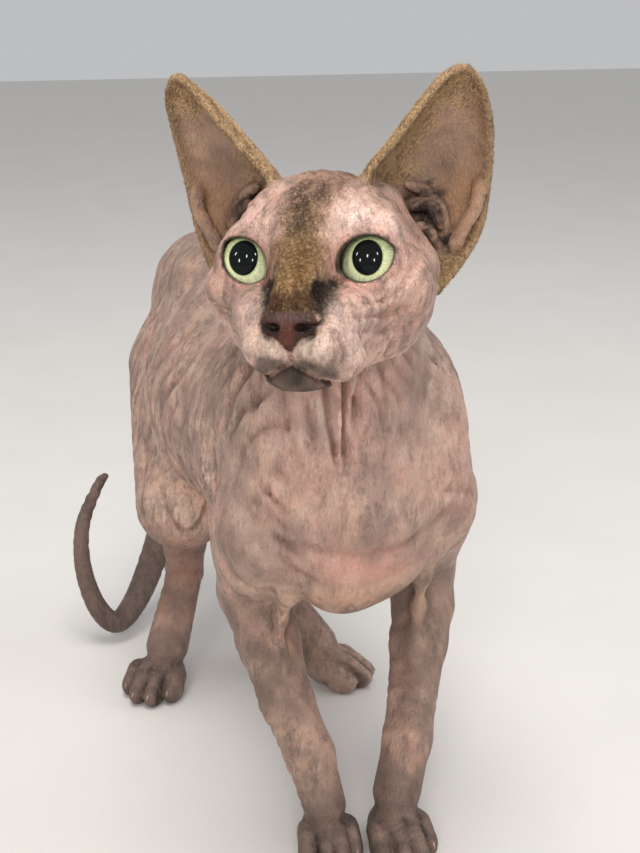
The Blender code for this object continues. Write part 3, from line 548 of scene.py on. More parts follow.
def body_folds(f):
    """Loose skin of the throat, neck, flank, chest and armpits."""
    for line, width, depth in THROAT_FOLDS:
        f.crease(line, width, depth, 1)
    # Sides of the neck
    for k in range(4):
        f.crease([(20 + 8 * k, -22 + 5 * k, 262 - 3 * k), (32 + 6 * k, -8 + 6 * k, 250 - 6 * k),
                  (44 + 4 * k, 2 + 7 * k, 238 - 9 * k), (53 + 2 * k, 6 + 8 * k, 222 - 11 * k)], 1.5, 1.8)
    for k in range(5):
        f.crease([(-36 - 5 * k, -2 + 6 * k, 262 - 2 * k), (-41 - 4 * k, 2 + 7 * k, 240 - 4 * k),
                  (-45 - 3 * k, 6 + 8 * k, 218 - 6 * k), (-47 - 2 * k, 10 + 8 * k, 200 - 8 * k)],
                 1.5, 1.2 + 0.5 * (k % 2))
    for s in (-1, 1):
        # Folds between the chest and the flank, close together at the elbow
        x = 6 + s * 58
        for k, (top, low, deep) in enumerate(ELBOW_FOLDS):
            half = (top + low) / 2
            f.crease([(x, top + 2, 218 - 4 * k), (x, top - 4, 203 - 3 * k), (x, half, 186 - 2 * k),
                      (x, low + 3, 170), (x, low, 156)], 1.7, deep, 0)
            f.crease([(x, top + 7, 214 - 4 * k), (x, top + 1, 200 - 3 * k), (x, half + 5, 184 - 2 * k),
                      (x, low + 6, 170)], 2.4, -0.9, 0)
        # A raised vein down the shoulder
        x -= 8 * s
        f.crease([(x, 2, 216), (x, -3, 204), (x, -8, 190), (x, -9, 178)], 1.1, -0.9)
    for s in (-1, 1):
        # Flank fold and the loose bag before the thigh
        for line, width, depth in FLANK_FOLDS:
            f.crease([(2 + s * 48, y, z) for y, z in line], width, depth, 0)
        f.crease([(s * 50, 133, 142), (s * 47, 134, 124), (s * 42, 133, 114.5), (s * 36, 133, 113.5),
                  (s * 30, 132, 121), (s * 27, 131, 134)], 1.8, 2.2, 1)
    # Fold over the breastbone, the V of the brisket and fine lines beside it
    f.crease([(-40, -6, 170), (-26, -15, 164), (-6, -22, 160), (12, -24, 160), (34, -18, 165), (48, -8, 172)],
             3.0, 1.7, 1)
    f.crease([(-34, -14, 152), (-18, -20, 147), (-3, -22, 143), (10, -22, 145), (30, -20, 152)], 2.2, 1.0, 1)
    f.ball((-3, -6, 139), (13, 12, 11.5), 12)
    for k in range(4):
        low = 12 * k
        f.crease([(-44 + 3 * k, -6, 196 - low), (-36 + 4 * k, -11, 186 - low), (-30 + 5 * k, -14, 180 - low)],
                 1.3, 0.9, 1)
    for tongue in ARM_TONGUES:
        f.tube(tongue, 7)
    # Spine, shoulder blades and hip bones
    for y in range(40, 250, 10):
        f.crease([(4, y, 268), (4, y + 4, 268)], 2.6, -0.7, 2)
    for s in (-1, 1):
        f.crease([(5 + s * 22, 44, 240), (5 + s * 36, 34, 218), (5 + s * 46, 26, 196)], 5.0, -1.2)
        f.ball((3 + s * 17, 196, 240), (9, 14, 9), 14)
        for y in range(76, 154, 13):
            z = 214 - 2 * (y - 76) // 13
            f.crease([(s * 48, y + 16, z), (s * 52, y + 8, 190), (s * 50, y, 166)], 3.4, 0.7)


def ripple(p, scale, seed, count=7):
    """Soft repeatable unevenness, mostly between -1 and 1."""
    rng = np.random.default_rng(seed)
    total = np.zeros(len(p))
    for k in range(count):
        way = rng.normal(size=3)
        way /= np.linalg.norm(way)
        spacing = scale * (0.6 + 1.75 * k / count)
        total += np.sin((p @ way.astype(np.float32)) * (2 * math.pi / spacing) + rng.uniform(0, 6.3))
    return total / (1.2 * math.sqrt(count))


def valley(phase, sharp):
    """1 at whole numbers, falling off on both sides."""
    return np.exp(-((phase - np.round(phase)) / sharp) ** 2)


def ramp(x, start, end):
    t = np.clip((x - start) / (end - start), 0, 1)
    return t * t * (3 - 2 * t)


def loose_skin(p):
    """How deep fine folds press into the trunk, neck and legs."""
    x, y, z = p[:, 0], p[:, 1], p[:, 2]
    wander = ripple(p, 84, 21, 4)
    patchy = np.clip(0.55 + 0.55 * ripple(p, 40, 22, 4), 0, 1)
    flank = ramp(np.abs(x - 5), 24, 42) * ramp(z, 118, 150) * ramp(-z, -262, -240)
    depth = 2.0 * flank * patchy * (valley((y + 0.35 * (z - 190) + 7 * wander) / 11.5, 0.19) - 0.25)
    t = np.clip((z - 226) / 58, 0, 1)
    turn = np.arctan2(x - 9 + 25 * t, 38 - 44 * t - y)
    neck = ramp(z, 192, 224) * ramp(-z, -300, -275) * ramp(-y, -100, -60)
    neck_rings = valley((turn * 42 + 6 * wander) / 8.6, 0.2) - 0.25
    depth += 1.7 * neck * (0.35 + 0.65 * patchy) * (1 - 0.55 * ramp(x, 24, 40)) * neck_rings
    legs = ramp(-z, -132, -110) * ramp(z, 20, 30)
    depth += 0.7 * legs * (1 - patchy) * (valley((z + 0.3 * y + 5 * wander) / 7.5, 0.22) - 0.25)
    chest = ramp(-y, -5, 8) * ramp(z, 140, 150) * ramp(-z, -215, -195)
    depth += 0.6 * chest * patchy * (valley((z - 0.012 * (x - 4) ** 2 + 9 * wander) / 11, 0.22) - 0.25)
    return depth


def face_lines(q):
    """How deep the wrinkles of the face press in, in head space."""
    x, z = np.abs(q[:, 0]), q[:, 2]
    wander = ripple(q, 30, 31, 4)
    patchy = np.clip(0.7 + 0.5 * ripple(q, 20, 32, 4), 0, 1)
    far = np.hypot(x - EYE_SIDE, z - 0.5)
    turn = np.degrees(np.arctan2(z - 0.5, x - EYE_SIDE))
    rings = valley((far + 1.2 * wander) / 5.0, 0.2) - 0.3
    under = ramp(turn, -172, -140) * ramp(-turn, -80, -35) * ramp(far, 13.6, 15.6) * ramp(-far, -38, -22)
    one_side = q * (0, 1, 1) + np.stack([x, 0 * x, 0 * x], 1)
    muzzle = 1 - np.clip(1.6 * near_spot(one_side, (9, -28, -27), (12, 11, 13)), 0, 1)
    depth = 1.0 * under * muzzle * (0.3 + 0.7 * patchy) * rings
    over = ramp(turn, 35, 65) * ramp(-turn, -160, -130) * ramp(far, 14, 16) * ramp(-far, -28, -20)
    depth += 0.35 * over * (0.3 + 0.7 * patchy) * rings
    fan = valley((np.degrees(np.arctan2(q[:, 0], z + 16)) + 6 * wander) / 9.0, 0.2) - 0.28
    depth += 1.5 * ramp(z, 16, 22) * ramp(-q[:, 1], -50, -15) * (0.35 + 0.65 * patchy) * fan
    return depth


def near_spot(q, centre, radii):
    return np.exp(-(((q - np.asarray(centre)) / np.asarray(radii)) ** 2).sum(1))


def whole(p):
    """Field of the whole skin."""
    f = trunk_form(p)
    apart = tail(p)
    for parts, place in zip(LEGS, PAW_PLACES):
        apart = np.minimum(apart, leg(p, parts, place))
    f.d = blend(f.d, apart, LIMB_BLEND)
    body_folds(f)
    skin = np.flatnonzero(np.abs(f.d) < 5)
    f.d[skin] += loose_skin(f.p[skin]).astype(np.float32)
    at = np.asarray(HEAD_AT, np.float32)
    i = f.near(at - 90, at + 90, 0)
    if len(i):
        q = to_head(f.p[i])
        g = head_form(q)
        skin = np.flatnonzero(np.abs(g.d) < 4)
        g.d[skin] += face_lines(q[skin]).astype(np.float32)
        g.d = blend(f.d[i], g.d, HEAD_BLEND)
        for ear in EARS:
            ear.hollow(g)
            ear.join(g)
            ear.folds(g)
        f.d[i] = sockets(g.d, q)
    f.d = np.maximum(f.d, 0.15 - f.p[:, 2])
    return f.d


# From the field to a surface
def stations(stretches):
    """Grid lines from (start, end, spacing) stretches, a whole number of four."""
    lines = [stretches[0][0]]
    for start, end, spacing in stretches:
        n = max(1, int(round((end - lines[-1]) / spacing)))
        lines += list(np.linspace(lines[-1], end, n + 1)[1:])
    while (len(lines) - 1) % 4:
        lines.append(lines[-1] + stretches[-1][2])
    return np.array(lines)


def grid_values(field, axes, step=4):
    """The field on the grid, read only in coarse cells near the surface."""
    coarse = [a[::step] for a in axes]
    sizes = []
    for c in coarse:
        gap = np.diff(c)
        sizes.append(np.maximum(np.append(gap, gap[-1]), np.append(gap[0], gap)))
    spots = np.stack(np.meshgrid(*coarse, indexing="ij"), -1)
    across, along, up = np.meshgrid(*sizes, indexing="ij")
    reach = np.sqrt(across ** 2 + along ** 2 + up ** 2)
    rough = field(spots.reshape(-1, 3).astype(np.float32)).reshape(spots.shape[:3])
    close = np.abs(rough) < reach
    for axis in range(3):
        wider = close.copy()
        behind, ahead = shifted(axis, slice(None, -1)), shifted(axis, slice(1, None))
        wider[behind] |= close[ahead]
        close = wider

    def fine(block):
        for axis in range(3):
            block = np.repeat(block, step, axis)
        return block[:len(axes[0]), :len(axes[1]), :len(axes[2])]

    values = fine(np.where(rough < 0, -FAR_VALUE, FAR_VALUE).astype(np.float32))
    mask = fine(close)
    where = np.argwhere(mask)
    points = np.stack([axes[k][where[:, k]] for k in range(3)], 1).astype(np.float32)
    values[mask] = np.concatenate([field(points[i:i + CHUNK]) for i in range(0, len(points), CHUNK)])
    return values


def shifted(axis, part, rest=slice(None)):
    """An index that takes part of one axis of a grid."""
    return tuple(part if k == axis else rest for k in range(3))


def settled(values, tiny):
    """Fill grid corners where two sheets would meet along an edge."""
    for _ in range(8):
        found = False
        for a, b in ((0, 1), (0, 2), (1, 2)):
            corners = {}
            for i, j in product((0, 1), repeat=2):
                cut = [slice(None)] * 3
                cut[a] = slice(i, values.shape[a] - 1 + i)
                cut[b] = slice(j, values.shape[b] - 1 + j)
                corners[i, j] = values[tuple(cut)]
            inside = {k: view < 0 for k, view in corners.items()}
            crossed = (inside[0, 0] == inside[1, 1]) & (inside[0, 1] == inside[1, 0])
            crossed &= inside[0, 0] != inside[0, 1]
            if crossed.any():
                found = True
                for k, view in corners.items():
                    view[crossed & ~inside[k]] = -tiny
        if not found:
            break
    return values


def surface(field, axes):
    """Vertices and quads of the zero level, one vertex per crossed cell."""
    values = settled(grid_values(field, axes), 0.03)
    inside = values < 0
    n = [s - 1 for s in values.shape]
    count = np.zeros(n, np.int8)
    for dx, dy, dz in product((0, 1), repeat=3):
        count += inside[dx:dx + n[0], dy:dy + n[1], dz:dz + n[2]]
    crossed = (count > 0) & (count < 8)
    cells = np.argwhere(crossed)
    number = np.full(n, -1, np.int64)
    number[crossed] = np.arange(len(cells))
    total = np.zeros((len(cells), 3))
    hits = np.zeros(len(cells))
    quads = []
    for axis in range(3):
        others = [x for x in range(3) if x != axis]
        offset = np.zeros(3, int)
        one = (np.arange(3) == axis).astype(int)
        for a, b in product((0, 1), repeat=2):
            offset[others] = (a, b)
            v0 = values[tuple((cells + offset).T)]
            v1 = values[tuple((cells + offset + one).T)]
            hit = (v0 < 0) != (v1 < 0)
            spot = np.zeros((len(cells), 3))
            spot[:, others] = (a, b)
            spot[:, axis] = np.where(hit, v0 / np.where(hit, v0 - v1, 1), 0)
            total += spot * hit[:, None]
            hits += hit
        before = inside[shifted(axis, slice(0, -1), slice(1, -1))]
        after = inside[shifted(axis, slice(1, None), slice(1, -1))]
        edges = np.argwhere(before != after) + (1 - one)
        ring = []
        for a, b in ((-1, -1), (0, -1), (0, 0), (-1, 0)):
            offset[others] = (a, b)
            ring.append(number[tuple((edges + offset).T)])
        ring = np.stack(ring, 1)
        flip = inside[tuple(edges.T)] != (axis == 1)
        ring[~flip] = ring[~flip][:, ::-1]
        quads.append(ring)
    part = total / hits[:, None]
    verts = np.zeros((len(cells), 3))
    for axis, line in enumerate(axes):
        first = line[cells[:, axis]]
        verts[:, axis] = first + part[:, axis] * (line[cells[:, axis] + 1] - first)
    return verts, np.concatenate(quads)


def onto_level(field, verts, most=0.35):
    """Move vertices onto the exact zero level, by at most a small step."""
    p = verts.astype(np.float32)
    d = field(p)
    slope = np.zeros((len(p), 3))
    h = 0.25
    for axis in range(3):
        ahead = p.copy()
        ahead[:, axis] += h
        slope[:, axis] = (field(ahead) - d) / h
    steep = np.maximum((slope ** 2).sum(1), 0.25)
    move = -(d / steep)[:, None] * slope
    length = np.linalg.norm(move, axis=1, keepdims=True)
    return verts + move * np.minimum(1, most / np.maximum(length, 1e-9))


def mesh_of(name, verts, faces):
    mesh = bpy.data.meshes.new(name)
    mesh.from_pydata([tuple(v) for v in verts], [], [tuple(int(i) for i in f) for f in faces])
    return mesh


def keep_largest(mesh):
    bm = bmesh.new()
    bm.from_mesh(mesh)
    left = set(bm.faces)
    pieces = []
    while left:
        stack = [left.pop()]
        part = list(stack)
        while stack:
            for g in {g for e in stack.pop().edges for g in e.link_faces} & left:
                left.remove(g)
                stack.append(g)
                part.append(g)
        pieces.append(part)
    pieces.sort(key=len)
    loose = [g for part in pieces[:-1] for g in part]
    if loose:
        bmesh.ops.delete(bm, geom=loose, context='FACES')
    bm.to_mesh(mesh)
    bm.free()


def thinned(mesh, triangles):
    thing = bpy.data.objects.new("thinning", mesh)
    bpy.context.scene.collection.objects.link(thing)
    few = thing.modifiers.new("fewer", 'DECIMATE')
    few.ratio = min(1.0, triangles / sum(len(p.vertices) - 2 for p in mesh.polygons))
    graph = bpy.context.evaluated_depsgraph_get()
    out = bpy.data.meshes.new_from_object(thing.evaluated_get(graph))
    bpy.data.objects.remove(thing)
    return out


def skin_surface():
    fine, middle, broad = GRID
    across = stations([(-106, 28, fine), (28, 82, broad)])
    along = stations([(-122, -20, fine), (-20, 330, broad)])
    up = stations([(-3, 26, middle), (26, 240, broad), (240, 370, fine)])
    return surface(whole, [across, along, up])


# Markings, worked out at each vertex
def display(*colour):
    """A colour as it looks on a display (0 to 255) as linear light."""
    shares = [c / 255 for c in colour]
    return np.array([c / 12.92 if c <= 0.04045 else ((c + 0.055) / 1.055) ** 2.4 for c in shares])


PINK = display(212, 172, 156)
ROSE = display(204, 146, 132)
TAN = display(190, 158, 140)
GREY_BROWN = display(122, 102, 92)
DEEP_GREY = display(82, 70, 66)
NEAR_BLACK = display(16, 10, 8)
GOLD_BROWN = display(146, 114, 78)
RED_BROWN = display(84, 56, 40)
FOREHEAD_GREY = display(84, 68, 56)
CREAM = display(224, 200, 182)
PALE = display(252, 218, 206)
EAR_SKIN = display(172, 142, 120)
EAR_ORANGE = display(168, 126, 92)
CANAL_SHADE = display(30, 16, 12)
LEATHER = display(66, 42, 34)
LEATHER_RED = display(100, 54, 40)
LIP_GREY = display(62, 52, 46)
CHIN_GREY = display(52, 43, 37)
LEG_GREY = display(120, 100, 88)
PAW_GREY = display(84, 71, 65)
TAIL_GREY = display(86, 72, 66)
LID_DARK = display(8, 5, 4)


def near_line(q, line, width):
    """1 on a line, fading out across its width."""
    return np.exp(-(line_distance(q, smooth_line(line, 4)) / width) ** 2)


class Paint:
    """A colour at each point, painted over in layers."""

    def __init__(self, points, colour):
        self.points = points
        self.tone = np.tile(colour, (len(points), 1)).astype(float)

    def over(self, colour, amount):
        amount = np.clip(amount, 0, 1)[:, None]
        self.tone += (np.asarray(colour) - self.tone) * amount

    def spots(self, colour, *spots):
        """Soft spots, each with its amount, middle and radii."""
        self.over(colour, sum(amount * near_spot(self.points, *spot) for amount, *spot in spots))

    def line(self, colour, amount, line, width):
        self.over(colour, amount * near_line(self.points, line, width))


def mouth_height(x):
    line = np.array(MOUTH_LINES[-1][:0:-1] + MOUTH_LINES[1])
    return np.interp(x, line[:, 0], line[:, 2])


def body_tones(p):
    """Trunk, legs and tail: colour and how strongly they are mottled."""
    x, y, z = p[:, 0], p[:, 1], p[:, 2]
    paint = Paint(p, TAN)
    wobble, small = ripple(p, 26, 3), ripple(p, 10, 5)
    paint.spots(PINK, (0.55, (-2, -20, 188), (30, 30, 22)), (0.4, (38, -12, 188), (22, 30, 26)))
    paint.over(GREY_BROWN, 0.22 * ramp(z + 6 * wobble, 200, 248))
    paint.over(GREY_BROWN, 0.35 * ramp(z, 225, 258) * ramp(y, 20, 90))
    paint.over(display(140, 116, 110), 0.55 * np.clip(0.25 + 0.8 * ripple(p, 34, 41) + 0.3 * small, 0, 1))
    paint.over(ROSE, 0.35 * np.clip(ripple(p, 30, 43) - 0.2, 0, 1))
    paint.spots(GREY_BROWN, (0.55, (-44, 60, 225), (26, 44, 22)))
    paint.line(GREY_BROWN, 0.25, [(-40, -6, 172), (-6, -22, 165), (12, -24, 165), (48, -8, 174)], 6)
    paint.spots(ROSE, (0.75, (4, -24, 152), (26, 20, 9)))
    paint.spots(display(196, 150, 122), (0.7, (-3, -14, 136), (18, 16, 8)))
    paint.line(display(214, 156, 130), 0.9, [(-9.4, -18, 246), (-8.8, -17, 228), (-7.6, -16, 208)], 2.4)
    paint.line(ROSE, 0.5, [(-3, -16, 246), (-3, -16, 226), (-3, -16, 208)], 5)
    # Painted light: a paler patch on the throat over the head's shadow
    paint.spots(PALE, (0.45, (-14, -16, 222), (24, 18, 18)))
    # Patches a thumb wide, darker and paler
    patches = ripple(p, 13, 61)
    paint.over(GREY_BROWN, 0.34 * np.clip(patches, 0, 1))
    paint.over(CREAM, 0.22 * np.clip(-patches, 0, 1) * ramp(z, 130, 170))
    paint.line(GREY_BROWN, 0.5, [(-44, 80, 232), (-48, 70, 214), (-51, 52, 200)], 7)
    # Flank: a paler bag under greyer streaks
    for s in (-1, 1):
        paint.spots(TAN, (0.7, (s * 52, 130, 140), (22, 30, 20)))
        paint.spots(CREAM, (0.5, (s * 50, 118, 124), (22, 28, 16)))
    # Legs darken towards the ground, pinker inside
    on_legs = ramp(-z + 5 * wobble - 16 * ramp(y, 40, 80), -142, -96)
    inner = ramp(np.where(y < 90, -np.abs(x - 8), -np.abs(x + 4)), -40, -14)
    paint.over(LEG_GREY, (0.66 + 0.34 * wobble + 0.24 * small) * on_legs)
    paint.over(GREY_BROWN, 0.3 * on_legs * ramp(z, 84, 104) * ramp(-y, -90, -60))
    warm = (0.5 + 0.25 * small) * on_legs * inner * ramp(z, 30, 60) * ramp(-y, -90, -70)
    paint.over(display(178, 132, 114), warm)
    paint.over(display(150, 106, 90), 0.5 * on_legs * ramp(y, 90, 110) * ramp(z, 26, 60) * (1 - 0.4 * wobble))
    # Painted shade on the inner sides of the forelegs, under the chest
    paint.spots(display(84, 62, 52), (0.75, (40, 28, 118), (9, 16, 22)), (0.6, (-14, 26, 116), (8, 16, 14)))
    for line in ([(-25, -2, 140), (-26, 4, 124), (-28, 9, 106)],
                 [(44, 4, 138), (47, 12, 122), (47, 16, 104)]):
        paint.line(display(206, 166, 142), 0.75, line, 3.2)
    patches = ripple(p, 9, 62)
    paint.over(DEEP_GREY, 0.42 * on_legs * np.clip(patches - 0.1, 0, 1))
    paint.over(display(196, 160, 142), 0.36 * on_legs * np.clip(-patches - 0.1, 0, 1) * ramp(-y, -80, -50))
    paint.over(TAN, 0.45 * on_legs * ramp(z, 26, 40) * ramp(-z, -84, -60) * ramp(-y, -90, -60) * (x < 8))
    paint.spots(DEEP_GREY, (0.35, (52, 22, 120), (14, 20, 26)))
    low = ramp(-z + 4 * wobble, -44, -16) * ramp(-y, -222, -208)
    paint.over(PAW_GREY, (0.88 + 0.2 * small) * low)
    # Painted light: the left hind paw made paler against its shadow
    paint.spots(TAN, (0.8, (*PAW_PLACES[3][0], 12), (34, 38, 34)))
    # Painted shade in the grooves between the toes
    for middle, turn, width in PAW_PLACES:
        ahead, side, _ = paw_axes(turn)
        w = p[:, :2] - np.array(middle)
        across, forth = w @ side[:2] / width, w @ ahead[:2]
        for gap in (-0.25, 0.0, 0.25):
            groove_shade = np.exp(-((across - gap) / 0.032) ** 2) * ramp(forth, -2, 5) * ramp(-z, -24, -18)
            paint.over(NEAR_BLACK, 0.75 * groove_shade * (np.abs(across) < 0.6) * (forth < 26))
    from_tail = line_distance(p, smooth_line(TAIL_LINE, 5)[:, :3])
    on_tail = ramp(-from_tail, -16, -12) * ramp(-z + 6 * wobble + 4 * small, -205, -150)
    paint.over(TAIL_GREY, 0.95 * on_tail)
    tip = near_spot(p, (-68, 250, 96), (14, 14, 16))
    paint.over(DEEP_GREY, 0.5 * on_tail * ramp(-z, -60, -20) + 0.7 * tip)
    paint.over(display(150, 124, 114), 0.25 * on_tail * near_spot(p, (-82, 240, 60), (6, 20, 26)))
    mottle = 0.8 + 0.15 * wobble + 0.1 * on_legs
    mottle *= 1 - 0.35 * ramp(-y, -14, 4) * ramp(z, 125, 150)
    mottle *= 1 - 0.6 * near_spot(p, (4, -24, 150), (26, 20, 12))
    return paint, mottle


# Dark blots of the upper lip: middle on the left side, and radii
LIP_BLOTS = (((4.6, -34, -35.2), (5.4, 8, 2.9)), ((12.5, -30, -37.5), (4.6, 7, 3.0)),
             ((20, -22, -36), (3, 6, 3)))


def face_tones(q, wobble, small):
    """The face in head space: colour, mottling, fuzz and wetness."""
    x, y, z = q[:, 0], q[:, 1], q[:, 2]
    face = Paint(q, PINK)
    face.over(TAN, 0.6 * ramp(y, 2, 24))
    face.over(GREY_BROWN, 0.34 * ramp(y, 16, 46) + 0.16 * (wobble + small))
    face.spots(GREY_BROWN, (0.35, (-24, -8, -20), (10, 12, 10)), (0.25, (28, 6, -22), (10, 14, 9)))
    # Brows and rolls round the eyes painted pale: a painted highlight where light falls on them
    face.spots(PALE, (0.95, (17, -9, 15), (8, 10, 5)), (0.2, (-16, -9, 16), (6, 10, 4)))
    face.spots(PALE, (0.6, (31, 0, 12), (7, 10, 5)), (0.4, (-29, 0, 12), (6, 10, 5)))
    for s in (-1, 1):
        face.line(ROSE, 0.55, sided([(15, -15, -10.5), (24, -10, -13), (34, -2, -6)], s), 2.6)
        face.line(PALE, 0.45, sided([(14, -17, -14), (22, -14, -16.5), (30, -8, -13)], s), 2.0)
        face.spots(ROSE, (0.4, (s * 33, 6, -3), (7, 12, 9)))
        face.spots(display(176, 128, 108), (0.5, (s * 30, -3, -17), (7, 9, 5)))
    face.spots(GREY_BROWN, (0.45, (-27, -12, -17), (8, 9, 6)))
    # Band up the forehead, darkest over the eyes
    centre = np.interp(z, [-5, 13, 22, 30, 40], [0, 0, 2, 5, 3])
    wide = np.interp(z, [0, 10, 20, 32, 44], [9.5, 7.5, 8.5, 10, 9])
    across = (x - centre + 1.2 * small) / wide
    front = ramp(-y, -56, -34)
    band = np.exp(-across ** 4) * ramp(z, 2, 8) * front
    face.over(GOLD_BROWN, 0.8 * band * ramp(-z, -26, -12))
    stripe = np.exp(-(across * 1.45 + 0.25) ** 2)
    stripe = (0.85 + 0.2 * small) * stripe * ramp(z, 5, 12) * front * (1 - 0.9 * ramp(z, 23, 30))
    face.over(FOREHEAD_GREY, stripe)
    for s in (-1, 1):
        face.over(GREY_BROWN, (0.35 + 0.25 * small) * near_spot(q, (s * 15, 12, 30), (9, 14, 9)))
    # Bridge of the nose
    bridge = np.exp(-(x / (10.4 + 0.8 * small)) ** 4) * ramp(-y, -4, 5) * ramp(z, -20, -17)
    bridge = bridge * ramp(-z, -12, -4)
    face.over(GOLD_BROWN, bridge)
    face.spots(display(150, 108, 62), (0.6, (1, -27, -8), (6, 12, 7)))
    face.over(RED_BROWN, 0.92 * bridge * ramp(-z + small, 8.5, 13.0))
    fuzz = np.clip(np.maximum(bridge, 0.8 * band), 0, 1)
    mottle = 0.9 - 0.3 * near_spot(q, (0, -30, -24), (18, 16, 16))
    for s in (-1, 1):
        # Dark patch between the inner corner of the eye and the nose
        beside = sided([(12.6, -13, -7), (11.6, -20, -8.5), (10.6, -26, -13.5), (9.8, -31, -18.5)], s)
        beside = near_line(q, beside, 2.9)
        patch = near_spot(q, (s * 9.6, -25.5, -10.2), (5.0, 6.5, 4.2))
        beside = np.maximum(beside, np.clip(1.5 * patch, 0, 1))
        face.over(NEAR_BLACK, 0.97 * np.clip(1.8 * beside - 0.2 + 0.12 * small, 0, 1))
        fuzz = np.maximum(fuzz, 0.8 * beside)
        face.line(LID_DARK, 0.95, sided([(11.9, -10.5, -2.5), (12.4, -13, -6), (12.2, -16, -10)], s), 1.1)
        face.spots(LID_DARK, (0.9, (s * 12.6, -11.5, -3.6), (1.6, 3, 1.8)))
        # Muzzle: cream with grey patches and rows of dots
        face.spots(CREAM, (0.85, (s * 7, -35, -29.5), (7, 8, 4.6)), (0.6, (s * 15, -27, -30), (8, 9, 7)))
        face.spots(display(178, 164, 156), (0.6, (s * 15, -25, -17), (4.5, 8, 7)))
        for middle, radii in LIP_BLOTS:
            middle = (s * middle[0], *middle[1:])
            blot = 0.9 * np.clip(1.6 * near_spot(q, middle, radii) - 0.1 + 0.25 * small, 0, 1)
            face.over(LIP_GREY, blot * near_spot(q, middle, np.array(radii) * 1.6))
        for row, k in product(range(4), range(5)):
            dot = (s * (8.5 + 3.2 * k), -34.2 + 0.9 * k + 0.22 * k ** 2, -25.5 - 2.3 * row + 0.4 * k)
            face.spots(GREY_BROWN, (0.7, dot, (0.75, 2.5, 0.75)))
        # Dark blotches along the edge of the upper lip
        lip = sided([(2.5, -35.5, -34), (7, -33.5, -36), (12, -30, -38.2), (18, -23, -38.5)], s)
        lip = near_line(q, lip, 2.3)
        face.over(LIP_GREY, 0.9 * np.clip(1.7 * lip - 0.45 + 0.5 * ripple(q, 6, 51), 0, 1))
        # Painted shade of the lower lids: a grey-brown line under each eye
        face.line(GREY_BROWN, 0.7, sided([(14, -14, -9.5), (23, -12, -10.8), (32, -5, -6.5)], s), 2.0)
    face.spots(PALE, (0.6, (17, -26, -26.5), (8, 9, 6)))
    # Lower lip and chin
    lower = ramp(mouth_height(x) - z, -0.2, 0.7) * ramp(-np.abs(x - 2), -17, -14) * ramp(-y, 8, 13)
    lower = lower * ramp(z + 0.12 * np.abs(x), -46.5, -44.5)
    face.over(CHIN_GREY, 0.98 * lower * (0.96 + 0.08 * small))
    # Nose leather, with painted shade in the nostrils, the cleft and the line of the mouth
    half = np.interp(z, [-31, -29, -26, -24, -20, -17, -15.5], [0.4, 1.8, 4.6, 9.6, 10.4, 8.6, 6.0])
    nose = ramp(half - np.abs(x), -0.5, 0.6) * ramp(z, -31.0, -30.0) * ramp(-z, 15.5, 17.5)
    nose = nose * ramp(-y, 27, 30)
    face.over(LEATHER, nose)
    face.over(display(120, 98, 96), 0.5 * nose * near_spot(q, (0, -37, -18.5), (5, 5, 2)))
    face.over(LEATHER_RED, 0.9 * nose * near_line(q, [(0, -39, -22), (0, -39, -28)], 2.6))
    # Painted shade: near black in the nostrils, along the creases of the nose's wings and along the line of
    # the mouth
    for s in (-1, 1):
        face.spots(NEAR_BLACK, (0.97, (s * 5.6, -37.6, -22.4), (3.4, 4.5, 2.1)))
        for amount, line, width in ((0.9, sided([(7.5, -36.5, -22.6), (10.4, -32, -21.2)], s), 1.1),
                                    (0.8, sided([(10.2, -31, -23.2), (7.2, -35, -25.6), (4.2, -37, -27.6),
                                                 (1.6, -38, -30)], s), 0.9),
                                    (0.95, MOUTH_LINES[s], 1.0)):
            face.line(NEAR_BLACK, amount, line, width)
    # Painted shade in the cleft under the nose and down the middle of the leather
    face.line(NEAR_BLACK, 0.95, [(0, -38, -28.8), (0, -37, -31.5), (0, -36, -35.4)], 0.95)
    face.line(NEAR_BLACK, 0.5, [(0, -39.5, -21), (0, -39, -28.8)], 0.5)
    # Dark edges of the lids
    wet = 0.6 * nose
    for s in (-1, 1):
        rim = lid_edge(q, s)
        close = (np.abs(x - s * EYE_SIDE) < 16) & (y < 3) & (np.abs(z) < 16)
        face.over(ROSE, 0.5 * close * ramp(-rim, -4.2, -2.0))
        face.over(LID_DARK, 0.98 * close * ramp(-rim, -1.0, -0.35))
        wet = np.maximum(wet, 0.5 * close * ramp(-rim, -0.8, -0.2))
    face.spots(LID_DARK, (0.9, (29.5, -8, 8.6), (0.8, 3, 0.8)))
    mottle *= 1 - np.clip(nose + bridge + lower, 0, 1)
    return face, mottle, fuzz * (1 - nose), wet


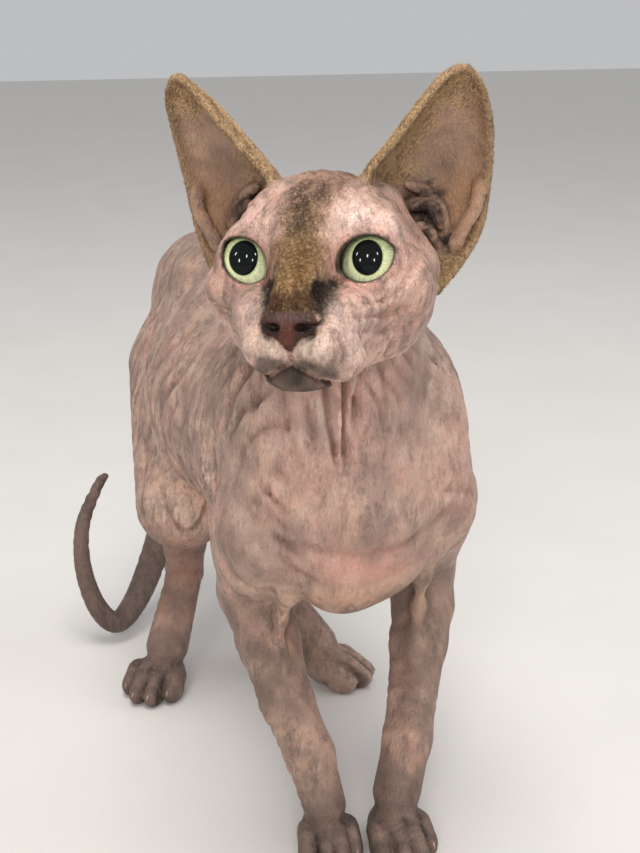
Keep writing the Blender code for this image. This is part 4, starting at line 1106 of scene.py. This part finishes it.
def markings(p):
    """Colour, mottling, fuzz and wetness for points of the skin, and each point's ear reading."""
    q = to_head(p).astype(float)
    wobble = ripple(p, 22, 3)
    small = ripple(p, 7, 5)
    on_head = ramp(-np.linalg.norm((q - (0, 6, -5)) / (50, 56, 54), axis=1), -1.10, -0.98)
    paint, mottle = body_tones(p)
    face, face_mottle, fuzz, wet = face_tones(q, wobble, small)
    paint.tone += (face.tone - paint.tone) * on_head[:, None]
    mottle = mottle * (1 - on_head) + on_head * face_mottle
    fuzz, wet = fuzz * on_head, wet * on_head
    ears = np.zeros((len(p), 4))
    for ear in EARS:
        box = np.flatnonzero(((q > ear.lo - 4) & (q < ear.hi + 4)).all(1))
        away, across, along, front = ear.read(q[box])
        on = ramp(-(away - ear.wall(along)), -2.4, -0.6)
        height = q[box, 2]
        rough_edge = ripple(p[box], 5, 2)
        here = q[box]
        one = Paint(here, EAR_SKIN)
        one.over(EAR_ORANGE, 0.85 * ramp(across, 0.5, 0.85) * ramp(-height, -50, -22) * front)
        one.over(display(120, 96, 84), 0.45 * near_spot(here, (ear.side * 42, 48, 38), (9, 20, 9)) * front)
        one.over(TAN, 0.25 * ripple(p[box], 12, 8))
        one.over(display(96, 74, 62), 0.3 * np.clip(ripple(p[box], 9, 18), 0, 1) * front)
        inner_band = np.interp(height, [22, 32, 45, 60], [0.20, 0.46, 0.42, 0.38])
        rim = ramp(inner_band - across + 0.08 * rough_edge, -0.15, 0.13) * ramp(height, 20, 28)
        for other in (0.6 * ramp(across + 0.03 * rough_edge, 0.92, 0.99),
                      ramp(height + 2.5 * rough_edge, 54, 62),
                      ramp(-height + 2 * rough_edge, -9, 1)):
            rim = np.maximum(rim, other)
        shag = np.maximum(rim * front, (1 - front) * 0.8)
        one.over(display(218, 184, 142), 0.85 * rim * front)
        one.over(display(150, 122, 88), 0.4 * ramp(-across + 0.02 * rough_edge, -0.10, -0.04) * front)
        one.over(display(132, 106, 80), 0.6 * ramp(across + 0.03 * rough_edge, 0.86, 0.97) * front)
        one.over(display(160, 132, 106), 0.75 * (1 - front))
        # Painted shade deep in the canal, darkest in its hollows
        canal_shade = np.maximum(near_spot(here, *ear.line([(37, 47, 19)]), (8, 8, 10.5)),
                         0.9 * near_spot(here, *ear.line([(44, 48, 7)]), (3.2, 6, 8)))
        canal_shade = np.clip(canal_shade * 2.8 - 0.6 + 0.6 * ripple(p[box], 4, 11), 0, 1) * front
        one.over(CANAL_SHADE, 0.97 * canal_shade)
        mottle[box] = mottle[box] * (1 - on) + 0.35 * on
        # Painted shade also darkens the hollow beside the head, and pale ridges cross the dark canal
        pit = np.maximum(near_spot(here, *ear.line([(37, 45, 18)]), (8, 6.5, 10)),
                         near_spot(here, *ear.line([(43, 46, 6)]), (4, 5, 7)))
        golden = near_line(here, ear.line(POCKET_TINT), 5.5) * (1 - on)
        inside = ramp(here[:, 1], 35, 39) * (1 - on)
        pit_shade = np.clip(2.6 * pit - 0.6 + 0.8 * ripple(p[box], 4, 14), 0, 1) * inside
        layers = [(one.tone, on), (EAR_ORANGE, 0.9 * golden), (EAR_SKIN, np.clip(3 * pit, 0, 1) * inside),
                  (CANAL_SHADE, 0.95 * pit_shade)]
        for line in EAR_RIDGES:
            ridge = near_line(here, [spot[:3] for spot in ear.line(line)], 2.2)
            ridge = np.clip(1.5 * ridge - 0.45 + 0.35 * ripple(p[box], 5, 17), 0, 1)
            layers.append((display(158, 124, 104), 0.85 * ridge))
        for colour, amount in layers:
            paint.tone[box] += (colour - paint.tone[box]) * amount[:, None]
        fuzz[box] = np.maximum(fuzz[box] * (1 - on), on * shag * (1 - canal_shade))
        wet[box] = np.maximum(wet[box], 0.6 * np.maximum(canal_shade, pit_shade))
        reading = np.stack([on * ear.side, across, along, front], 1)
        ears[box] = np.where((on > 0.4)[:, None], reading, ears[box])
    return np.clip(paint.tone, 0.003, 0.95), *(np.clip(v, 0, 1) for v in (mottle, fuzz, wet)), ears


def hollows(spots, normals, tris):
    """How far each point lies below its neighbours, as a slope."""
    a = np.concatenate([tris[:, 0], tris[:, 1], tris[:, 2], tris[:, 1], tris[:, 2], tris[:, 0]])
    b = np.concatenate([tris[:, 1], tris[:, 2], tris[:, 0], tris[:, 0], tris[:, 1], tris[:, 2]])
    way = spots[b] - spots[a]
    rise = (way * normals[a]).sum(1) / np.maximum(np.linalg.norm(way, axis=1), 1e-6)
    count = np.maximum(np.bincount(a, minlength=len(spots)), 1)
    value = np.bincount(a, rise, len(spots)) / count
    for _ in range(2):
        value = 0.4 * value + 0.6 * np.bincount(a, value[b], len(spots)) / count
    broad = value
    for _ in range(12):
        broad = 0.3 * broad + 0.7 * np.bincount(a, broad[b], len(spots)) / count
    return value - broad


def store(mesh, name, values, kind='FLOAT_COLOR'):
    """Keep values at the points of a mesh; a colour is filled up with ones."""
    layer = mesh.attributes.new(name, kind, 'POINT')
    if kind == 'FLOAT_COLOR':
        data = np.ones((len(mesh.vertices), 4), np.float32)
        data[:, :values.shape[1]] = values
    else:
        data = np.asarray(values, np.float32)
    field = {'FLOAT': "value", 'FLOAT_VECTOR': "vector", 'FLOAT_COLOR': "color"}[kind]
    layer.data.foreach_set(field, data.ravel())


# Materials: one class wraps a socket so that sums and products add nodes
class Link:
    def __init__(self, tree, socket=None):
        self.tree = tree
        self.socket = socket

    def node(self, kind, settings=None, inputs=None, output=0):
        made = self.tree.nodes.new(kind)
        for name, value in (settings or {}).items():
            setattr(made, name, value)
        for name, value in (inputs or {}).items():
            if isinstance(value, Link):
                self.tree.links.new(value.socket, made.inputs[name])
            else:
                made.inputs[name].default_value = value
        return Link(self.tree, made.outputs[output])

    def maths(self, operation, *values):
        return self.node('ShaderNodeMath', {"operation": operation}, dict(enumerate(values)))

    def vector(self, operation, inputs):
        return self.node('ShaderNodeVectorMath', {"operation": operation}, inputs)

    def __add__(self, other):
        return self.maths('ADD', self, other)

    def __sub__(self, other):
        return self.maths('SUBTRACT', self, other)

    def __rsub__(self, other):
        return self.maths('SUBTRACT', other, self)

    def __mul__(self, other):
        return self.maths('MULTIPLY', self, other)

    def __pow__(self, other):
        return self.maths('POWER', self, other)

    def between(self, low, high):
        """0 below low, 1 above high, smooth between."""
        return self.node('ShaderNodeMapRange', {"interpolation_type": 'SMOOTHSTEP'},
                         {"Value": self, "From Min": low, "From Max": high})

    def noise(self, scale, detail, rough):
        return self.node('ShaderNodeTexNoise', None,
                         {"Vector": self, "Scale": scale, "Detail": detail, "Roughness": rough})

    def stretched(self, *sizes):
        return self.node('ShaderNodeMapping', None, {"Vector": self, "Scale": sizes})

    def attribute(self, name):
        return self.node('ShaderNodeAttribute', {"attribute_name": name})

    def bump(self, strength, distance, height):
        return self.node('ShaderNodeBump', None,
                         {"Strength": strength, "Distance": distance, "Height": height})

    def chosen(self, low, high):
        """Colour low where this is 0, and high where it is 1."""
        low, high = [c if isinstance(c, Link) else (*map(float, c), 1.0) for c in (low, high)]
        return self.node('ShaderNodeMix', {"data_type": 'RGBA'}, {0: self, 6: low, 7: high}, 2)

    def mixed(self, other, amount):
        return amount.chosen(self, other)


def new_material(name, **constants):
    made = bpy.data.materials.new(name)
    made.use_nodes = True
    for key, value in constants.items():
        made.node_tree.nodes["Principled BSDF"].inputs[key.replace("_", " ")].default_value = value
    start = Link(made.node_tree)
    return made, start, start.node('ShaderNodeTexCoord', output=3)


def feed(made, **results):
    """Join the results to the surface's inputs."""
    tree = made.node_tree
    for name, value in results.items():
        tree.links.new(value.socket, tree.nodes["Principled BSDF"].inputs[name.replace("_", " ")])
    return made


def skin_material():
    made, start, place = new_material(
        "bare_skin", Subsurface_Weight=0.08, Subsurface_Scale=0.002, Subsurface_Radius=(1.0, 0.35, 0.2),
        Specular_IOR_Level=0.22)
    tone, marks = start.attribute("tone"), start.attribute("marks")
    mottle, fuzz, wet = [start.node('ShaderNodeSeparateColor', None, {"Color": marks}, k) for k in range(3)]
    # Grey-brown blotches, long streaks down the body, pale flecks and fine specks
    broad = place.noise(60, 5, 0.62).between(0.47, 0.60)
    streaks = place.stretched(1, 1, 0.24).noise(150, 5, 0.65).between(0.47, 0.60)
    fine = place.stretched(1, 1, 0.5).noise(430, 4, 0.65).between(0.48, 0.62)
    specks = place.noise(1300, 2, 0.5).between(0.55, 0.68)
    light = tone.between(0.16, 0.5)
    colour = tone.mixed(GREY_BROWN, (broad * 0.42 + streaks * 0.56) * mottle)
    colour = colour.mixed(ROSE, place.noise(42, 3, 0.5).between(0.52, 0.62) * mottle * light * 0.42)
    colour = colour.mixed(GREY_BROWN, fine * mottle * 0.42)
    colour = colour.mixed(DEEP_GREY, fine * streaks * mottle * 0.36)
    pale = place.stretched(1, 1, 0.4).noise(380, 4, 0.65).between(0.55, 0.66)
    colour = colour.mixed(CREAM, pale * mottle * light * 0.44)
    colour = colour.mixed(DEEP_GREY, specks * mottle * 0.32)
    # Fuzzy places: light and dark hairs
    hairs = place.stretched(1, 0.5, 0.35).noise(1500, 3, 0.6)
    colour = colour.mixed(display(206, 170, 118), hairs.between(0.53, 0.64) * fuzz * 0.6)
    colour = colour.mixed(display(52, 38, 26), hairs.between(0.48, 0.36) * fuzz * 0.6)
    rough = 0.54 - place.noise(300, 2, 0.5).between(0.35, 0.7) * 0.14 - wet * 0.28 + fuzz * 0.2
    # Fine creases, pores and hairs
    crinkle = start.node('ShaderNodeTexVoronoi', {"feature": 'DISTANCE_TO_EDGE'},
                         {"Vector": place.stretched(1, 1, 0.5), "Scale": 560.0})
    warped = place.stretched(1, 1, 0.28).noise(230, 5, 0.65)
    pores = place.noise(1200, 2, 0.5)
    height = crinkle.between(0.0, 0.14) * 0.30 + warped * 1.5 + pores * 0.3 + hairs * fuzz * 1.2
    return feed(made, Base_Color=colour, Roughness=rough, Normal=start.bump(0.7, 0.0009, height))


def eye_material():
    """Iris around an upright oval pupil, under a clear wet coat; the pattern reads the eye's own map."""
    made, start, _ = new_material(
        "eye_surface", Coat_Weight=0.4, Coat_Roughness=0.015, Coat_IOR=1.35, Roughness=0.6,
        Specular_IOR_Level=0.02)
    spot = start.node('ShaderNodeUVMap', {"uv_map": "iris"})
    u, v = [start.node('ShaderNodeSeparateXYZ', None, {"Vector": spot}, k) - 0.5 for k in (0, 1)]
    away = (u * u + v * v) ** 0.5
    pupil = ((u * 1.46) ** 2 + (v * 1.2) ** 2) ** 0.5
    angle = start.maths('ARCTAN2', v, u)
    around = start.node('ShaderNodeCombineXYZ', None, {"X": angle * 4.0, "Y": away * 3.0})
    fibres = around.noise(3.2, 4, 0.65)
    # The iris is darker towards the top: painted shade of the upper lid
    colour = (v * -2.0 + 0.5).between(0.0, 1.0).chosen(display(128, 134, 92), display(206, 208, 166))
    for tint, amount in ((display(118, 122, 88), fibres.between(0.45, 0.7) * 0.55),
                         (display(206, 208, 164), fibres.between(0.55, 0.35) * 0.4),
                         (display(84, 92, 60), away.between(0.36, 0.43) * 0.7),
                         (display(94, 104, 58), pupil.between(0.26, 0.22) * 0.6),
                         # White of the eye, and the pupil
                         (display(70, 52, 44), away.between(0.415, 0.45)),
                         (display(8, 10, 10), pupil.between(0.232, 0.218))):
        colour = colour.mixed(tint, amount)
    return feed(made, Base_Color=colour, Normal=start.bump(0.25, 0.0003, fibres))


def claw_material():
    made, _, place = new_material("claw_horn", Specular_IOR_Level=0.5, Coat_Weight=0.3)
    grain = place.stretched(1, 1, 0.3).noise(900, 3, 0.6)
    colour = grain.between(0.3, 0.7).chosen(display(186, 164, 146), display(140, 114, 98))
    return feed(made, Base_Color=colour, Roughness=grain * 0.2 + 0.25)


def hair_material():
    made, start, place = new_material("short_fuzz", Specular_IOR_Level=0.15)
    tone = start.attribute("tone")
    grain = place.noise(900, 2, 0.5)
    locks = place.stretched(1, 0.4, 0.4).noise(330, 3, 0.6)
    light = tone.between(0.02, 0.14)
    colour = tone.mixed(display(222, 194, 154), grain.between(0.50, 0.64) * light * 0.45)
    colour = colour.mixed(display(62, 44, 30), grain.between(0.46, 0.34) * 0.25)
    colour = colour.mixed(display(76, 50, 32), locks.between(0.48, 0.38) * 0.45)
    colour = colour.mixed(display(214, 178, 134), locks.between(0.52, 0.64) * light * 0.4)
    return feed(made, Base_Color=colour, Roughness=grain * 0.2 + 0.5)


def floor_material():
    made, _, place = new_material("pale_floor", Specular_IOR_Level=0.4)
    grain = place.noise(800, 2, 0.5)
    colour = place.noise(9, 4, 0.5).between(0.2, 0.8).chosen(display(216, 213, 209), display(220, 217, 213))
    colour = colour.mixed(display(190, 184, 178), grain.between(0.6, 0.72) * 0.3)
    return feed(made, Base_Color=colour, Roughness=grain * 0.1 + 0.45)


def in_frame(verts):
    return (np.asarray(verts) + SHIFT) * 0.001


def show(name, mesh, material, nodes):
    """A finished piece at the origin that rides the body and stands for some nodes."""
    mesh.name = name
    ob = bpy.data.objects.new(name, mesh)
    bpy.context.scene.collection.objects.link(ob)
    mesh.materials.clear()
    mesh.materials.append(material)
    mesh.shade_smooth()
    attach(ob, "root")
    if nodes:
        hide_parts(*nodes)
    return ob


FLESH = ("head", "neck", "chest", "belly", "rump", "right_thigh", "left_thigh",
         "right_forearm", "right_pastern", "right_forepaw", "left_forearm", "left_pastern", "left_forepaw",
         "right_shank", "right_hindfoot", "right_hindpaw", "left_shank", "left_hindfoot", "left_hindpaw",
         "tail_root", "tail_middle", "tail_bend", "tail_tip", "right_ear", "left_ear")


def make_skin():
    verts, quads = skin_surface()
    mesh = mesh_of("skin", verts, quads)
    keep_largest(mesh)
    mesh = thinned(mesh, SKIN_TRIANGLES)
    spots = np.zeros(len(mesh.vertices) * 3)
    mesh.vertices.foreach_get("co", spots)
    spots = spots.reshape(-1, 3)
    spots = onto_level(whole, spots)
    tone, mottle, fuzz, wet, ears = markings(spots.astype(np.float32))
    mesh.vertices.foreach_set("co", in_frame(spots).ravel())
    mesh.update()
    mesh.calc_loop_triangles()
    tris = np.zeros(len(mesh.loop_triangles) * 3, np.int64)
    mesh.loop_triangles.foreach_get("vertices", tris)
    normals = np.zeros(len(mesh.vertices) * 3)
    mesh.vertex_normals.foreach_get("vector", normals)
    normals, tris = normals.reshape(-1, 3), tris.reshape(-1, 3)
    # Painted shade darkens the creases and hollows, most on the head, and a painted highlight lightens the
    # raised folds
    sunk = hollows(spots, normals, tris)
    facing = ramp(-np.linalg.norm(to_head(spots) / (48, 52, 52), axis=1), -1.15, -0.95)
    deep = np.clip((5.0 - 2.2 * facing) * (sunk - 0.012), 0, 0.75)
    tone = tone * (1 - deep[:, None] * (0.74, 0.86, 0.92))
    ridge_highlight = np.clip(-5.0 * (sunk + 0.012), 0, 0.5)[:, None] * (1 - fuzz[:, None]) * np.clip(tone * 4, 0, 1)
    tone = tone + (tone ** 0.7 - tone) * ridge_highlight
    store(mesh, "tone", tone)
    store(mesh, "marks", np.stack([mottle, fuzz, wet], 1))
    show("skin", mesh, skin_material(), FLESH)
    make_coats(spots, normals, tris, tone, fuzz, ears)


def make_eye(side, material):
    rings, sides = 48, 64
    verts, around_map = [], []
    for j in range(rings + 1):
        a = math.pi * j / rings
        wide = EYE_RADIUS * math.sin(a)
        t = max(0.0, 1 - (wide / CORNEA_RADIUS) ** 2) if a < math.pi / 2 else 0.0
        r = EYE_RADIUS + CORNEA_RISE * t * t * (3 - 2 * t)
        for i in range(1 if j in (0, rings) else sides):
            b = 2 * math.pi * i / sides
            verts.append((r * math.sin(a) * math.cos(b), -r * math.cos(a), r * math.sin(a) * math.sin(b)))
            far = 0.5 * min(1.0, a / (math.pi / 2))
            around_map.append((0.5 + far * math.cos(b), 0.5 + far * math.sin(b)))

    def spot(j, i):
        if j == 0:
            return 0
        if j == rings:
            return len(verts) - 1
        return 1 + (j - 1) * sides + i % sides

    faces = []
    for j in range(rings):
        for i in range(sides):
            ring = [spot(j, i), spot(j, i + 1), spot(j + 1, i + 1), spot(j + 1, i)]
            face = [v for k, v in enumerate(ring) if v != ring[k - 1]]
            faces.append(face[::-1])
    placed = np.array(verts) @ eye_axes(side).T + (side * EYE_SIDE, 0, 0)
    placed = placed @ head_axes().T + HEAD_AT
    mesh = mesh_of("eye", in_frame(placed), faces)
    layer = mesh.uv_layers.new(name="iris")
    for loop in mesh.loops:
        layer.data[loop.index].uv = around_map[loop.vertex_index]
    name = "left" if side > 0 else "right"
    return show(name + "_eyeball", mesh, material, [name + "_eye"])


# Short fuzz: tufts of thin hairs set by a node tree
def tuft_object():
    """Three thin closed spikes from one root, one unit long along Z."""
    verts, faces, patch = [], [], []
    for lean, turn, tall in ((0.05, 0.3, 1.0), (0.30, 2.4, 0.82), (0.26, 4.6, 0.7)):
        foot = 0.05 * np.array([math.cos(turn), math.sin(turn), 0])
        first = len(verts)
        for i in range(3):
            a = 2 * math.pi * i / 3 + turn
            verts.append(foot + 0.055 * np.array([math.cos(a), math.sin(a), 0]))
            patch.append((0.5 + 0.5 * math.cos(a), 0.5 + 0.5 * math.sin(a), 0))
        verts.append(foot + tall * np.array([lean * math.cos(turn), lean * math.sin(turn), 1]))
        patch.append((0.5, 0.5, 0))
        faces.append((first, first + 2, first + 1))
        faces += [(first + i, first + (i + 1) % 3, first + 3) for i in range(3)]
    mesh = mesh_of("tuft", verts, faces)
    store(mesh, "patch", patch, 'FLOAT_VECTOR')
    return bpy.data.objects.new("tuft", mesh)


def fuzz_tree(material):
    """Tufts scattered over the faces by weight, leaning along the stored lie."""
    tree = bpy.data.node_groups.new("fuzz", 'GeometryNodeTree')
    for name, way, kind in (("Geometry", 'INPUT', 'Geometry'), ("Tuft", 'INPUT', 'Object'),
                            ("Density", 'INPUT', 'Float'), ("Length", 'INPUT', 'Float'),
                            ("Unevenness", 'INPUT', 'Float'), ("Seed", 'INPUT', 'Int'),
                            ("Geometry", 'OUTPUT', 'Geometry')):
        tree.interface.new_socket(name, in_out=way, socket_type='NodeSocket' + kind)
    start = Link(tree)
    given = tree.nodes.new('NodeGroupInput')

    def take(name):
        return Link(tree, given.outputs[name])

    def stored(name, kind='FLOAT_VECTOR'):
        return start.node('GeometryNodeInputNamedAttribute', {"data_type": kind}, {"Name": name})

    def random_between(kind, value_type, low, high):
        made = tree.nodes.new('FunctionNodeRandomValue')
        made.data_type = kind
        for name, value in (("Min", low), ("Max", high)):
            [k for k in made.inputs if k.name == name and k.type == value_type][0].default_value = value
        return Link(tree, [k for k in made.outputs if k.type == value_type][0])

    thick = take("Density") * stored("weight", 'FLOAT')
    points = start.node('GeometryNodeDistributePointsOnFaces', {"distribute_method": 'RANDOM'},
                        {"Mesh": take("Geometry"), "Density": thick, "Seed": take("Seed")})
    jitter = random_between('FLOAT_VECTOR', 'VECTOR', (-1, -1, -1), (1, 1, 1))
    loose = start.vector('SCALE', {0: jitter, "Scale": take("Unevenness")})
    turned = start.node('FunctionNodeAlignRotationToVector', {"axis": 'Z'},
                        {"Vector": start.vector('ADD', {0: stored("lie"), 1: loose})})
    random_size = random_between('FLOAT', 'VALUE', 0.55, 1.2)
    size = take("Length") * random_size * (stored("weight", 'FLOAT') * 0.6 + 0.4)
    info = start.node('GeometryNodeObjectInfo', None, {"Object": take("Tuft")}, 4)
    placed = start.node('GeometryNodeInstanceOnPoints', None,
                        {"Points": points, "Instance": info, "Rotation": turned, "Scale": size})
    real = start.node('GeometryNodeRealizeInstances', None, {"Geometry": placed})
    patch = start.vector('SCALE', {0: stored("patch"), "Scale": 0.003})
    spot = start.vector('ADD', {0: stored("root_map"), 1: patch})
    mapped = start.node('GeometryNodeStoreNamedAttribute', {"data_type": 'FLOAT2', "domain": 'CORNER'},
                        {"Geometry": real, "Name": "OFBake", "Value": spot})
    dressed = start.node('GeometryNodeSetMaterial', None, {"Geometry": mapped, "Material": material})
    tree.links.new(dressed.socket, tree.nodes.new('NodeGroupOutput').inputs[0])
    return tree


def coat(name, slot, roots, tuft, tree, material, tufts, length, uneven, seed):
    """Fuzz on a patch of the skin: roots are its points, faces and readings."""
    verts, faces, weight, lie, root_map, tone = roots
    mesh = mesh_of(name + "_roots", verts, faces)
    store(mesh, "weight", weight, 'FLOAT')
    store(mesh, "lie", lie, 'FLOAT_VECTOR')
    store(mesh, "root_map", root_map, 'FLOAT_VECTOR')
    store(mesh, "tone", tone)
    area = np.array([f.area for f in mesh.polygons])
    cover = (area * np.asarray(weight)[np.array(faces)].mean(1)).sum()
    ob = bpy.data.objects.new(name + "_roots", mesh)
    bpy.context.scene.collection.objects.link(ob)
    grow = ob.modifiers.new("fuzz", 'NODES')
    grow.node_group = tree
    tufts *= 1.0
    settings = {"Tuft": tuft, "Density": tufts / cover, "Length": length, "Unevenness": uneven, "Seed": seed}
    for item in tree.interface.items_tree:
        if item.in_out == 'INPUT' and item.name in settings:
            grow[item.identifier] = settings[item.name]
    graph = bpy.context.evaluated_depsgraph_get()
    made = bpy.data.meshes.new_from_object(
        ob.evaluated_get(graph), preserve_all_data_layers=True, depsgraph=graph)
    bpy.data.objects.remove(ob)
    for label in ("weight", "lie", "root_map", "patch"):
        if label in made.attributes:
            made.attributes.remove(made.attributes[label])
    return show(name, made, material, [])


def skin_patch(spots, normals, tris, weight, tone, way, root_map, stand):
    """The part of the skin where weight is above a little, with its hairs' lie."""
    picked = tris[weight[tris].mean(1) > 0.06]
    used, index = np.unique(picked, return_inverse=True)
    n = normals[used]
    lie = way[used] - (way[used] * n).sum(1, keepdims=True) * n
    lie /= np.maximum(np.linalg.norm(lie, axis=1, keepdims=True), 1e-6)
    lie = lie + n * stand
    faces = index.reshape(-1, 3).tolist()
    return in_frame(spots[used]), faces, weight[used], lie, root_map[used], tone[used]


def make_coats(spots, normals, tris, tone, fuzz, ears):
    material = hair_material()
    tuft = tuft_object()
    tree = fuzz_tree(material)
    axes = head_axes()
    q = to_head(spots)
    on_ear, across, along, front = ears.T
    for ear in EARS:
        name = "left" if ear.side > 0 else "right"
        tip = np.array(*ear.line([(55, 22, 75)])) + (ear.side * 3, 0, 6)
        mine = on_ear * ear.side > 0.4
        way = tip - q
        way /= np.linalg.norm(way, axis=1, keepdims=True)
        outward = (along > 0.1) * (np.clip(across - 0.8, 0, 1) * 4 - np.clip(0.2 - across, 0, 1) * 4)
        way[:, 0] += ear.side * outward * 0.8
        root_map = np.stack([0.03 + 0.44 * across + 0.5 * front, 0.04 + 0.92 * along, 0 * along], 1)
        roots = skin_patch(spots, normals, tris, fuzz * mine, tone, way @ axes.T, root_map, 0.4)
        *amounts, seed = EAR_FUZZ
        coat(name + "_ear_fuzz", "skin_ears", roots, tuft, tree, material, *amounts, seed + ear.side)
    on_face = fuzz * (np.abs(on_ear) < 0.1) * (q[:, 1] < 30)
    way = np.tile((0.0, 0.55, 0.85), (len(q), 1))
    way[:, 0] = 0.05 * q[:, 0]
    around = np.arctan2(q[:, 0], 40 - q[:, 1]) / math.pi
    root_map = np.stack([0.5 + around * 1.6, 0.35 + q[:, 2] / 90, 0 * around], 1)
    roots = skin_patch(spots, normals, tris, on_face, tone, way @ axes.T, root_map, 0.22)
    coat("face_fuzz", "skin_face", roots, tuft, tree, material, *FACE_FUZZ)
    bpy.data.objects.remove(tuft)


def make_claws():
    """Small curved claws at the tips of the toes."""
    verts, faces = [], []
    rings, sides = 6, 8
    for middle, turn, width in PAW_PLACES:
        ahead, side, up = paw_axes(turn)
        for across, forth in TOES:
            root = np.array([*middle, 0.0]) + side * width * across
            root = root + ahead * (forth + 6.2) + up * (TOE_HEIGHT + 3.2)
            first = len(verts)
            for j in range(rings):
                t = j / (rings - 1)
                bend = 1.15 * t
                at = root + ahead * 3.9 * math.sin(bend) + up * (-3.6 * (1 - math.cos(bend)) - 0.8 * t)
                along = ahead * math.cos(bend) - up * math.sin(bend)
                over = np.cross(side, along)
                r = 0.95 * (1 - t) ** 0.8 + 0.06
                for i in range(sides):
                    b = 2 * math.pi * i / sides
                    verts.append(at + side * r * 0.7 * math.cos(b) + over * r * math.sin(b))
            for j in range(rings - 1):
                for i in range(sides):
                    k = (i + 1) % sides
                    faces.append((first + j * sides + i, first + j * sides + k,
                                  first + (j + 1) * sides + k, first + (j + 1) * sides + i))
            faces.append(tuple(first + i for i in range(sides))[::-1])
            faces.append(tuple(first + (rings - 1) * sides + i for i in range(sides)))
    mesh = mesh_of("claws", in_frame(verts), faces)
    bm = bmesh.new()
    bm.from_mesh(mesh)
    bmesh.ops.recalc_face_normals(bm, faces=bm.faces)
    bm.to_mesh(mesh)
    bm.free()
    return show("claws", mesh, claw_material(), [])


# Floor, light and camera
def placed_object(name, data, place, way):
    """An object at a place whose -Z looks along a way."""
    ob = bpy.data.objects.new(name, data)
    bpy.context.scene.collection.objects.link(ob)
    ob.location = place
    ob.rotation_euler = Vector(way).to_track_quat('-Z', 'Y').to_euler()
    return ob


def set_stage(eyes):
    bpy.context.scene.view_settings.view_transform = 'Standard'
    bpy.ops.mesh.primitive_plane_add(size=12.0, location=(0, 0, 0))
    floor = bpy.context.object
    floor.name = "floor"
    floor.data.materials.append(floor_material())

    def lamp(name, place, aim, power, size, colour, receivers):
        data = bpy.data.lights.new(name, 'AREA')
        data.shape = 'RECTANGLE'
        data.size, data.size_y = size
        data.energy = power
        data.color = colour
        ob = placed_object(name, data, place, Vector(aim) - Vector(place))
        if receivers:
            ob.light_linking.receiver_collection = receivers

    # The front light leaves the eyes out; small upright lights shine on nothing else
    only_eyes = bpy.data.collections.new("eye_lights")
    not_eyes = bpy.data.collections.new("body_lights")
    for ob in eyes:
        only_eyes.objects.link(ob)
        not_eyes.objects.link(ob)
    for left_out in not_eyes.collection_objects:
        left_out.light_linking.link_state = 'EXCLUDE'
    for name, place, power, size, colour, leaves_eyes in LAMPS:
        lamp(name, place, (0, 0, 0.2), power, (size, size), colour, not_eyes if leaves_eyes else None)
    axes = head_axes()
    camera = np.array(CAMERA_AT)
    for k, (across, up) in enumerate(CATCH_SPOTS):
        normal = np.array([across, -math.sqrt(CATCH_CIRCLE ** 2 - across ** 2 - up ** 2), up]) / CATCH_CIRCLE
        normal = axes @ (eye_axes(1) @ normal)
        spot = in_frame(axes @ np.array([EYE_SIDE, 0, 0]) + HEAD_AT) + normal * EYE_RADIUS * 0.001
        view = camera - spot
        view = view / np.linalg.norm(view)
        way = 2 * float(view @ normal) * normal - view
        lamp("catch_%d" % k, spot + way * CATCH_DISTANCE, spot, 8.5, (0.10, 0.24), (1, 1, 1), only_eyes)
    world = bpy.data.worlds.new("studio")
    bpy.context.scene.world = world
    world.use_nodes = True
    background = world.node_tree.nodes["Background"].inputs
    background["Color"].default_value = (0.93, 0.94, 0.96, 1)
    background["Strength"].default_value = 0.55


def set_camera():
    data = bpy.data.cameras.new("camera")
    data.sensor_width = 36
    data.lens = CAMERA_LENS
    data.clip_start = 0.01
    bpy.context.scene.camera = placed_object("camera", data, CAMERA_AT, CAMERA_WAY)


make_skin()
eye_look = eye_material()
eyes = [make_eye(side, eye_look) for side in (-1, 1)]
make_claws()
set_stage(eyes)
set_camera()
